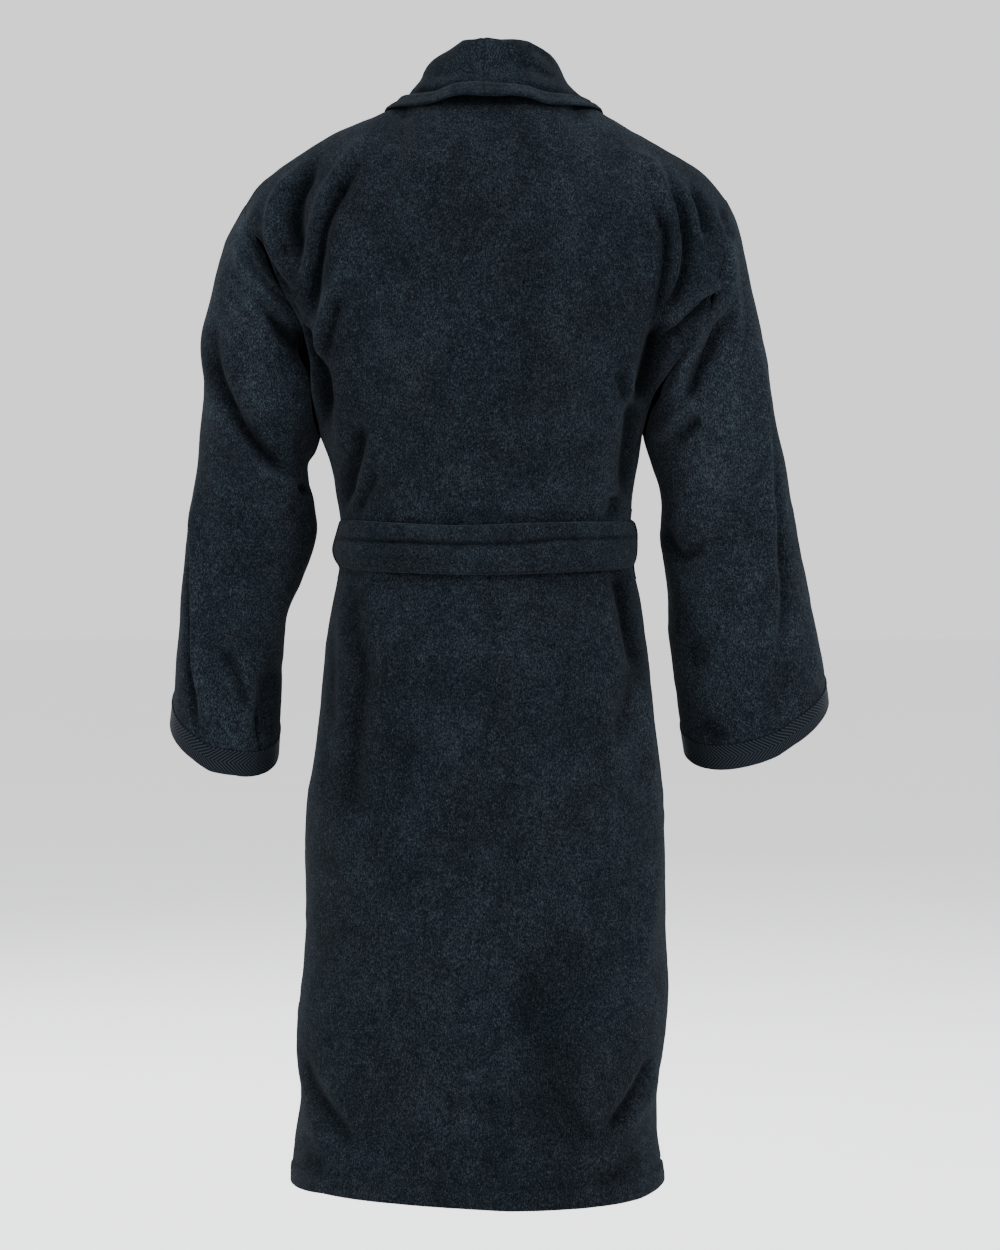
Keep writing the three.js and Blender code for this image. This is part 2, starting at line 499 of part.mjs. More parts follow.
function beltLoop(sign) {
  // strap outside the belt at the side seam, joined to the cloth above and below
  const r = (z) => { const [wl, wr] = table(TORSO, z); return sign > 0 ? wl : wr; };
  const xo = r(WAIST_Z) + BELT_OUT + 1.4 - (sign < 0 ? 3 : 0);
  const line = [[r(WAIST_Z + 36) + 3.2, WAIST_Z + 36], [r(WAIST_Z + 32) + 3.8, WAIST_Z + 32], [xo - 2.5, WAIST_Z + 28.2], [xo, WAIST_Z + 23.3], [xo + 0.6, WAIST_Z],
    [xo, WAIST_Z - 23.3], [xo - 2.5, WAIST_Z - 28.2], [r(WAIST_Z - 32) + 3.8, WAIST_Z - 32], [r(WAIST_Z - 36) + 3.2, WAIST_Z - 36]];
  const rings = line.map(([x, z], i) => {
    const a = line[Math.max(0, i - 1)], b = line[Math.min(line.length - 1, i + 1)];
    const d = unit([b[0] - a[0], b[1] - a[1], 0]), nx = -d[1], nz = d[0], t = 1.8 / 2;
    const s = Math.sign(nx) || 1;
    const P = (k, y) => [sign * (x + s * nx * k), y, z + s * nz * k];
    return [P(-t, -5), P(-t, 5), P(t, 5), P(t, -5)];
  });
  return skin(rings);
}

// ---------------------------------------------------------------- pockets on the skirt front
function pocket(sign) {
  const z1 = POCKET_TOP_Z, z0 = z1 - POCKET_H, nx = 16, nz = 14;
  // places along the ring by arc length from its inner edge
  const zr = (z0 + z1) / 2, aIn = angleAt(zr, sign * (OVERLAP + 6)), dir = sign > 0 ? -1 : 1;
  const arc = [[0, aIn]];
  for (let a = aIn, l = 0, p = ringPoint(zr, a, -1); l < POCKET_W + 5 && a > 0.004 && a < 0.996;) {
    a += dir * 0.002; const q = ringPoint(zr, a, -1); l += Math.hypot(q[0] - p[0], q[1] - p[1]); p = q; arc.push([l, a]);
  }
  const surf = (a, b, off) => {
    const z = lerp(z0, z1, b), t = table(arc, a * POCKET_W)[0];
    const q0 = ringPoint(z, t - 0.004, -1), q1 = ringPoint(z, t + 0.004, -1), p = ringPoint(z, t, -1);
    const d = unit([q1[0] - q0[0], q1[1] - q0[1], 0]), n = [d[1], -d[0], 0], s = n[0] * p[0] + n[1] * p[1] > 0 ? 1 : -1;
    return add(p, n, s * off);
  };
  const grid = [], inner = [], outer = [];
  for (let i = 0; i <= nx; i++) { grid.push([]); for (let j = 0; j <= nz; j++) grid[i].push([i / nx, j / nz]); }
  // open pouch: gap is small at sides and bottom and widest at the mouth
  const puff = (a, b) => 15 * Math.pow(Math.sin(Math.PI * clamp(a, 0.001, 0.999)), 1.1) * (1 - 0.8 * smooth((a - 0.35) / 0.5)) * (0.35 + 0.65 * b) * smooth(b / 0.3);
  const faceIn = (a, b) => surf(a, b, 1.0 + puff(a, b));
  const pos = [], idx = [];
  for (const o of [3.0, 0]) for (const c of grid) for (const [a, b] of c) pos.push(...surf(a, b, 1.6 + o + puff(a, b)));
  const n = nx + 1, m = nz + 1, A = (i, j) => i * m + j, B = (i, j) => n * m + A(i, j);
  const quad = (a, b, c, d) => idx.push(a, b, c, a, c, d);
  for (let i = 0; i < nx; i++) for (let j = 0; j < nz; j++) { quad(A(i, j), A(i + 1, j), A(i + 1, j + 1), A(i, j + 1)); quad(B(i, j), B(i, j + 1), B(i + 1, j + 1), B(i + 1, j)); }
  for (let i = 0; i < nx; i++) { quad(A(i + 1, 0), A(i, 0), B(i, 0), B(i + 1, 0)); quad(A(i, nz), A(i + 1, nz), B(i + 1, nz), B(i, nz)); }
  for (let j = 0; j < nz; j++) { quad(A(0, j), A(0, j + 1), B(0, j + 1), B(0, j)); quad(A(nx, j + 1), A(nx, j), B(nx, j), B(nx, j + 1)); }
  const body = toGeometry(pos, idx);
  const tg = [], b0 = 1 - TAPE_W / POCKET_H;
  for (let i = 0; i <= nx; i++) tg.push([0, 1, 2].map((j) => { const a = 0.012 + 0.976 * i / nx, b = lerp(b0, 1, j / 2); return [a, b]; }));
  const tp = [], ti = [];
  for (const o of [5.4 + TAPE_T, 5.4]) for (const c of tg) for (const [a, b] of c) tp.push(...surf(a, b, o + puff(a, b)));
  const m2 = 3, A2 = (i, j) => i * m2 + j, B2 = (i, j) => n * m2 + A2(i, j), q2 = (a, b, c, d) => ti.push(a, b, c, a, c, d);
  for (let i = 0; i < nx; i++) for (let j = 0; j < 2; j++) { q2(A2(i, j), A2(i + 1, j), A2(i + 1, j + 1), A2(i, j + 1)); q2(B2(i, j), B2(i, j + 1), B2(i + 1, j + 1), B2(i + 1, j)); }
  for (let i = 0; i < nx; i++) { q2(A2(i + 1, 0), A2(i, 0), B2(i, 0), B2(i + 1, 0)); q2(A2(i, 2), A2(i + 1, 2), B2(i + 1, 2), B2(i, 2)); }
  for (let j = 0; j < 2; j++) { q2(A2(0, j), A2(0, j + 1), B2(0, j + 1), B2(0, j)); q2(A2(nx, j + 1), A2(nx, j), B2(nx, j), B2(nx, j + 1)); }
  return { body, tape: toGeometry(tp, ti) };
}

// ---------------------------------------------------------------- inside back neck
const neckWs = [0.885, 0.91, 0.935, 0.96];
const neckGrid = makeGrid(backPoint, 20, neckWs, 0.36, 0.64);
const neckNr = normals(makeGrid(backPoint, 20, neckWs, 0.36, 0.64), false);
const neckSign = Math.sign(dot(neckNr[10][1], [0, 1, 0.2]));
const neckTape = shell(neckGrid, -(CLOTH + 4.0) * neckSign, -(CLOTH + 2.7) * neckSign, { normals: neckNr });

const LOOP = { y: 88, z: -3, half: 26, drop: 24 };
function hangLoop() {
  // strap hanging as a U below its two sewn ends, width along Y
  const line = [];
  for (let k = 0; k <= 18; k++) {
    const a = Math.PI * k / 18, x = -LOOP.half * Math.cos(a);
    line.push([x, LOOP.z - LOOP.drop * Math.pow(Math.sin(a), 0.7)]);
  }
  const rings = line.map(([x, z], i) => {
    const a = line[Math.max(0, i - 1)], b = line[Math.min(line.length - 1, i + 1)];
    const d = unit([b[0] - a[0], b[1] - a[1], 0]), nx = -d[1], nz = d[0], t = 0.9;
    const P = (k, y) => [x + nx * k, y, z + nz * k];
    return [P(-t, LOOP.y - 4), P(-t, LOOP.y + 4), P(t, LOOP.y + 4), P(t, LOOP.y - 4)];
  });
  return skin(rings);
}

// ---------------------------------------------------------------- the front corner that folds open
const FOLD_TOP = [-OVERLAP - 3, -762], FOLD_LOW = [14, HEM_Z - 20];
function foldPrism(shift) {
  const d = unit([FOLD_LOW[0] - FOLD_TOP[0], FOLD_LOW[1] - FOLD_TOP[1], 0]), n = [d[1], -d[0]];
  const s = n[0] < 0 ? 1 : -1, o = [n[0] * s * shift, n[1] * s * shift];
  const a = [FOLD_TOP[0] - d[0] * 30 + o[0], FOLD_TOP[1] - d[1] * 30 + o[1]], b = [FOLD_LOW[0] + d[0] * 60 + o[0], FOLD_LOW[1] + d[1] * 60 + o[1]];
  const poly = [a, b, [-400, b[1]], [-400, a[1]]];
  return toManifold(prism(poly.map(([x, z]) => [x, -260, z]), poly.map(([x, z]) => [x, -4, z])));
}

// ---------------------------------------------------------------- assembly
const group = new THREE.Group();
group.name = 'bathrobe';
const NAVY = 0x1d252d, NAVY_DARK = 0x1a2128, TAPE = 0x1b2228, BELT = 0x1c232a;
function piece(name, geo, color, roughness = 0.95) {
  const mesh = new THREE.Mesh(geo, new THREE.MeshStandardMaterial({ color, roughness, metalness: 0 }));
  mesh.name = name;
  group.add(mesh);
}

piece('back_panel', panelSolid(backGrid, backNormals), NAVY);
const leftFull = toManifold(panelSolid(frontLeftGrid));
piece('front_panel_left', fromManifold(leftFull.subtract(foldPrism(-SEAM_GAP / 2))), NAVY);
piece('front_flap_left', fromManifold(leftFull.intersect(foldPrism(SEAM_GAP / 2))), NAVY);
piece('front_panel_right', panelSolid(frontRightGrid), NAVY);

const sl = sleeveSolids(SLEEVE_L, ARM_L_BACK, ARM_L_FRONT), sr = sleeveSolids(SLEEVE_R, ARM_R_BACK, ARM_R_FRONT);
piece('sleeve_left', sl.body, NAVY);
piece('cuff_tape_left', sl.tape, TAPE, 0.8);
piece('sleeve_right', sr.body, NAVY);
piece('cuff_tape_right', sr.tape, TAPE, 0.8);

piece('collar_left', collarSolid(1), NAVY_DARK);
piece('collar_right', collarSolid(-1), NAVY_DARK);

piece('belt_waistband', belt, BELT);
piece('belt_knot', knot, BELT);
piece('belt_tail_left', tailLeft, BELT);
piece('belt_tail_right', tailRight, BELT);
piece('belt_loop_left', beltLoop(1), TAPE, 0.85);
piece('belt_loop_right', beltLoop(-1), TAPE, 0.85);

const pl = pocket(1), pr = pocket(-1);
piece('pocket_left', pl.body, NAVY);
piece('pocket_tape_left', pl.tape, TAPE, 0.8);
piece('pocket_right', pr.body, NAVY);
piece('pocket_tape_right', pr.tape, TAPE, 0.8);

piece('neck_tape', neckTape, TAPE, 0.8);
piece('hang_loop', hangLoop(), TAPE, 0.8);

export default group;
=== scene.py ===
import math

import bpy
import numpy as np
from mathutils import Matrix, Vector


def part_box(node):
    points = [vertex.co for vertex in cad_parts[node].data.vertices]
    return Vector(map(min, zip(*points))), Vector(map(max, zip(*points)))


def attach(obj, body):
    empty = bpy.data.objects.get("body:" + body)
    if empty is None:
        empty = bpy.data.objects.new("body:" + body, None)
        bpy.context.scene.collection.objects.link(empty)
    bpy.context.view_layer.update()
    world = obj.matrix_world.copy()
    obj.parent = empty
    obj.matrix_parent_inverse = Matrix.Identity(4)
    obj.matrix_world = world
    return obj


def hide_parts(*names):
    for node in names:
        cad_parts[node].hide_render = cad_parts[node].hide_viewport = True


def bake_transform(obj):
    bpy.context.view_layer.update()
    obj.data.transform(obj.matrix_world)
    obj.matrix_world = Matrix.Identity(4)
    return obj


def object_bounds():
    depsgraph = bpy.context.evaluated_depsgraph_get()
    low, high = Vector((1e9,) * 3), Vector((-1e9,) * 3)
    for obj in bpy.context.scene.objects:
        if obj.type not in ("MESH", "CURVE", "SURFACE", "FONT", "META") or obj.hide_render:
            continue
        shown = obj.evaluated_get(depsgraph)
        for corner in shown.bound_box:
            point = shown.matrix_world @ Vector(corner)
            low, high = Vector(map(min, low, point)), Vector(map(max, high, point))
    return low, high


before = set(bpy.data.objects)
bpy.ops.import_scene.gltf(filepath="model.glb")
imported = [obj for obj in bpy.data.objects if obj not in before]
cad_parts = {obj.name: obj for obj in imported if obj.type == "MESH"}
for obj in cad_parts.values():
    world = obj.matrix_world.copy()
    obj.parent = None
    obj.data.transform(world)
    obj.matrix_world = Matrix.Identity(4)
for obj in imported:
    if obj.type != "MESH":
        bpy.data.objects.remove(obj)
cad_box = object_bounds()
RNG = np.random.default_rng(7)

# ------------------------------------------------------------------ camera
PX = 1.0667e-3                      # metres per pixel at the depth of the origin
CAM_Y, CAM_Z, MID_PX, MID_PY, COL0, ROW0 = 4.0, -0.28, 500.0, 625.0, 484.0, 120.0
cam_x = -(MID_PX - COL0) * PX
aim_z = (ROW0 - MID_PY) * PX
pitch = math.atan2(CAM_Z - aim_z, CAM_Y)
reach = math.hypot(CAM_Y, CAM_Z - aim_z)
cam_data = bpy.data.cameras.new("camera")
cam = bpy.data.objects.new("camera", cam_data)
bpy.context.scene.collection.objects.link(cam)
cam.location = (cam_x, CAM_Y, CAM_Z)
cam.rotation_euler = (math.pi / 2 - pitch, 0.0, math.pi)
cam_data.sensor_fit = "HORIZONTAL"
cam_data.sensor_width = 36.0
cam_data.lens = 36.0 * reach / (1000 * PX)
cam_data.clip_end = 60.0
bpy.context.scene.camera = cam
FOC = reach / PX


def project(P):
    """pixel place of points (..., 3) in the 1000 by 1250 frame"""
    v = P - np.array([cam_x, CAM_Y, CAM_Z])
    c, s = math.cos(pitch), math.sin(pitch)
    depth = -v[..., 1] * c - v[..., 2] * s
    right = -v[..., 0]
    up = -v[..., 1] * s + v[..., 2] * c
    return MID_PX + FOC * right / depth, MID_PY - FOC * up / depth


# ------------------------------------------------------------------ dimensions, as in the CAD, mm
CLOTH, HEM_Z, ARMPIT_Z, WAIST_Z = 4.0, -1133.0, -338.0, -452.0
BELT_W, BELT_T, TAPE_W, OVERLAP = 48.0, 3.4, 25.0, 84.0
POCKET_W, POCKET_H, POCKET_TOP_Z = 134.0, 178.0, -570.0
ROUND = 2.35
CUFF_TILT = 0.53
TORSO = np.array([
    [-1133, 207, 193, 150, 146], [-1090, 204, 186, 150, 147], [-1045, 196, 184, 149, 147],
    [-1000, 202, 191, 148, 147], [-950, 199, 195, 147, 146], [-900, 193, 196, 146, 145],
    [-840, 191, 195, 144, 143], [-780, 192, 195, 142, 141], [-730, 190, 192, 140, 138],
    [-680, 181, 186, 138, 136], [-620, 174, 180, 134, 132], [-570, 170, 175, 129, 127],
    [-520, 162, 168, 120, 121], [-480, 154, 160, 112, 115], [-452, 150, 156, 109, 112],
    [-425, 152, 156, 111, 113], [-390, 158, 160, 117, 118], [-360, 165, 165, 122, 122],
    [-338, 174, 168, 126, 125]], float)
ARM_L_BACK = [[174, 0, -338], [180, 40, -296], [184, 60, -248], [198, 67, -204], [224, 66, -162], [245, 45, -116], [254, 0, -90]]
ARM_L_FRONT = [[174, 0, -338], [178, -40, -298], [184, -60, -250], [200, -66, -206], [224, -65, -160], [245, -44, -115], [254, 0, -90]]
ARM_R_BACK = [[-168, 0, -338], [-178, 40, -302], [-200, 62, -262], [-228, 68, -222], [-247, 66, -168], [-257, 46, -118], [-258, 0, -88]]
ARM_R_FRONT = [[-168, 0, -338], [-174, -40, -300], [-188, -60, -252], [-208, -66, -208], [-234, -65, -160], [-253, -44, -114], [-258, 0, -88]]
SHOULDER_L = [[254, 0, -90], [237, 0, -66], [197, 0, -38], [158, 0, -15], [104, 0, 8], [78, 0, 18]]
SHOULDER_R = [[-258, 0, -88], [-230, 0, -57], [-184, 0, -28], [-150, 0, -8], [-122, 0, 6], [-92, 0, 18]]
NECK_BACK = [[78, 0, 18], [64, 34, 24], [34, 55, 27], [0, 60, 28], [-40, 55, 27], [-76, 34, 24], [-92, 0, 18]]
SLEEVE_L = [
    [254, -90, 174, -338, 64, 0], [271, -123, 179, -354, 65, 0], [283, -160, 186, -368, 66, -1],
    [294, -209, 186, -386, 66, -2], [300, -243, 183, -402, 66, -4], [297, -283, 180, -420, 66, -6],
    [300, -319, 179, -438, 65, -8], [307, -380, 185, -464, 64, -12], [318, -449, 197, -494, 62, -17],
    [325, -509, 212, -529, 61, -22], [328, -565, 215, -577, 60, -27], [331, -612, 218, -630, 60, -31],
    [334, -645, 222, -682, 60, -35]]
SLEEVE_R = [
    [-258, -88, -168, -338, 64, 0], [-270, -115, -174, -358, 65, 0], [-276, -147, -179, -374, 66, -1],
    [-286, -192, -185, -392, 67, -2], [-297, -248, -188, -412, 68, -4], [-308, -312, -187, -432, 68, -6],
    [-318, -362, -187, -453, 67, -8], [-333, -434, -193, -482, 66, -12], [-341, -480, -197, -511, 65, -17],
    [-348, -524, -198, -546, 64, -22], [-357, -565, -202, -586, 63, -27], [-363, -600, -209, -626, 62, -31],
    [-367, -632, -215, -676, 62, -35]]
CHEST = np.array([[-338, 125], [-280, 128], [-220, 124], [-160, 113], [-100, 92], [-50, 62], [-10, 30], [18, 0]], float)

# ------------------------------------------------------------------ small maths on arrays


def smooth(t):
    t = np.clip(t, 0.0, 1.0)
    return t * t * (3 - 2 * t)


def lerp(a, b, t):
    return a + (b - a) * t


def along(rows, t):
    """Catmull-Rom through rows, t 0..1 over the row index; t any shape, result (..., k)"""
    R = np.asarray(rows, float)
    n = len(R) - 1
    s = np.clip(np.asarray(t, float), 0, 1) * n
    k = np.minimum(n - 1, np.floor(s).astype(int))
    f = (s - k)[..., None]
    p = [R[np.clip(k + d, 0, n)] for d in (-1, 0, 1, 2)]
    return 0.5 * (2 * p[1] + (p[2] - p[0]) * f + (2 * p[0] - 5 * p[1] + 4 * p[2] - p[3]) * f ** 2
                  + (-p[0] + 3 * p[1] - 3 * p[2] + p[3]) * f ** 3)


_z = np.linspace(-1160, ARMPIT_Z, 700)
_k = np.exp(-0.5 * (np.arange(-30, 31) * (_z[1] - _z[0]) / 9.0) ** 2)
_k /= _k.sum()
_cols = []
for _c in range(1, 5):
    _v = np.interp(_z, TORSO[:, 0], TORSO[:, _c])
    _lo, _hi = 2 * _v[0] - _v[30:0:-1], 2 * _v[-1] - _v[-2:-32:-1]
    _cols.append(np.convolve(np.concatenate([_lo, _v, _hi]), _k, "valid"))


def torso(z):
    return [np.interp(z, _z, c) for c in _cols]


def ring(z, a, side, gap=0.0):
    z, a = np.broadcast_arrays(np.asarray(z, float), np.asarray(a, float))
    wl, wr, db, df = torso(z)
    th = np.pi * a
    c, s, e = np.cos(th), np.maximum(0, np.sin(th)), 2 / ROUND
    x = np.sign(c) * np.abs(c) ** e * np.where(c > 0, wl, wr)
    y = s ** e * (db if side > 0 else df)
    return np.stack([x, side * (y + gap), z], -1)


def angle_at(z, x):
    wl, wr, _, _ = torso(z)
    w = np.where(x > 0, wl, wr)
    return np.arccos(np.clip(np.abs(x) / w, 0, 1) ** (ROUND / 2) * np.sign(x)) / np.pi


def edge_x(z, sign):
    z = np.asarray(z, float)
    neck = 78 if sign > 0 else 92
    t = np.clip((z - WAIST_Z) / (18 - WAIST_Z), 0, 1.1)
    return sign * lerp(-OVERLAP, neck, t ** 0.96)


def patch(bottom, top, left, right, u, w, kl, kr):
    ay = 1 - (1 - w ** 3.1) ** (1 / 3.1)
    b, t = bottom(u), top(u)
    one, zero = np.ones_like(u), np.zeros_like(u)

    def m(p, q):
        return np.stack([lerp(p[..., 0], q[..., 0], w), lerp(p[..., 1], q[..., 1], ay), lerp(p[..., 2], q[..., 2], w)], -1)
    cl = left(w) - m(bottom(zero), top(zero))
    cr = right(w) - m(bottom(one), top(one))
    return m(b, t) + ((1 - u) ** kl)[..., None] * cl + (u ** kr)[..., None] * cr


def back_point(u, w):
    u, w = np.broadcast_arrays(np.asarray(u, float), np.asarray(w, float))
    low = ring(lerp(ARMPIT_Z, HEM_Z, np.clip(-w, 0, 1)), u, 1)

    def top(s):
        a, b, c = along(SHOULDER_L, s / 0.3), along(NECK_BACK, (s - 0.3) / 0.4), along(SHOULDER_R, (1 - s) / 0.3)
        return np.where((s < 0.3)[..., None], a, np.where((s > 0.7)[..., None], c, b))
    up = patch(lambda s: ring(ARMPIT_Z, s, 1), top, lambda q: along(ARM_L_BACK, q), lambda q: along(ARM_R_BACK, q),
               u, np.clip(w, 0, 1), 3, 3)
    return np.where((w <= 0)[..., None], low, up)


def front_point(u, w, sign):
    u, w = np.broadcast_arrays(np.asarray(u, float), np.asarray(w, float))

    def ring_a(z, s):
        ae = angle_at(z, edge_x(z, sign))
        return lerp(0, ae, s) if sign > 0 else lerp(1, ae, s)
    z = lerp(ARMPIT_Z, HEM_Z, np.clip(-w, 0, 1))
    low = ring(z, ring_a(z, u), -1)
    sh, arm = (SHOULDER_L, ARM_L_FRONT) if sign > 0 else (SHOULDER_R, ARM_R_FRONT)
    yb = abs(float(ring(ARMPIT_Z, ring_a(np.array(ARMPIT_Z), np.array(1.0)), -1)[..., 1]))

    def right(q):
        zz = lerp(ARMPIT_Z, 18, q)
        y = -np.interp(zz, CHEST[:, 0], CHEST[:, 1]) * lerp(yb / 125, 1, q)
        return np.stack([edge_x(zz, sign), y, zz], -1)
    up = patch(lambda s: ring(ARMPIT_Z, ring_a(np.full_like(s, ARMPIT_Z), s), -1), lambda s: along(sh, s),
               lambda q: along(arm, q), right, u, np.clip(w, 0, 1), 3, 1.6)
    return np.where((w <= 0)[..., None], low, up)


def under_step(P):
    z = P[..., 2]
    xe = edge_x(z, 1)
    amount = lerp(9, 22, smooth((z + 500) / 70)) * (1 - smooth((z + 180) / 80))
    return amount * smooth((P[..., 0] - (xe - 64)) / 44)


def normals(P, wrap=False):
    if wrap:
        du = np.roll(P, -1, 0) - np.roll(P, 1, 0)
    else:
        du = np.gradient(P, axis=0)
    dv = np.gradient(P, axis=1)
    n = np.cross(du, dv)
    n /= np.maximum(np.linalg.norm(n, axis=-1, keepdims=True), 1e-9)
    return n


def outward(P, wrap=False, about=None):
    """normals turned away from the piece's own middle line"""
    n = normals(P, wrap)
    if about is None:
        c = np.array([0.0, 0.0])
        probe = (n[..., 0] * (P[..., 0] - c[0]) + n[..., 1] * (P[..., 1] - c[1]))[:, : max(2, P.shape[1] // 2)].mean()
    else:
        probe = (n * (P - about)).sum(-1).mean()
    return n if probe > 0 else -n


# ------------------------------------------------------------------ noise for soft relief
def lattice(seed, cells):
    return np.random.default_rng(seed).standard_normal(cells)


def soft_noise(x, y, size, seed):
    """smooth value noise of wavelength about `size` over coordinates x, y"""
    g = lattice(seed, (64, 64))
    gx, gy = x / size + 17.3, y / size + 9.1
    ix, iy = np.floor(gx).astype(int), np.floor(gy).astype(int)
    fx, fy = smooth(gx - ix), smooth(gy - iy)
    v = 0
    for a in (0, 1):
        for b in (0, 1):
            v = v + g[(ix + a) % 64, (iy + b) % 64] * (fx if a else 1 - fx) * (fy if b else 1 - fy)
    return v


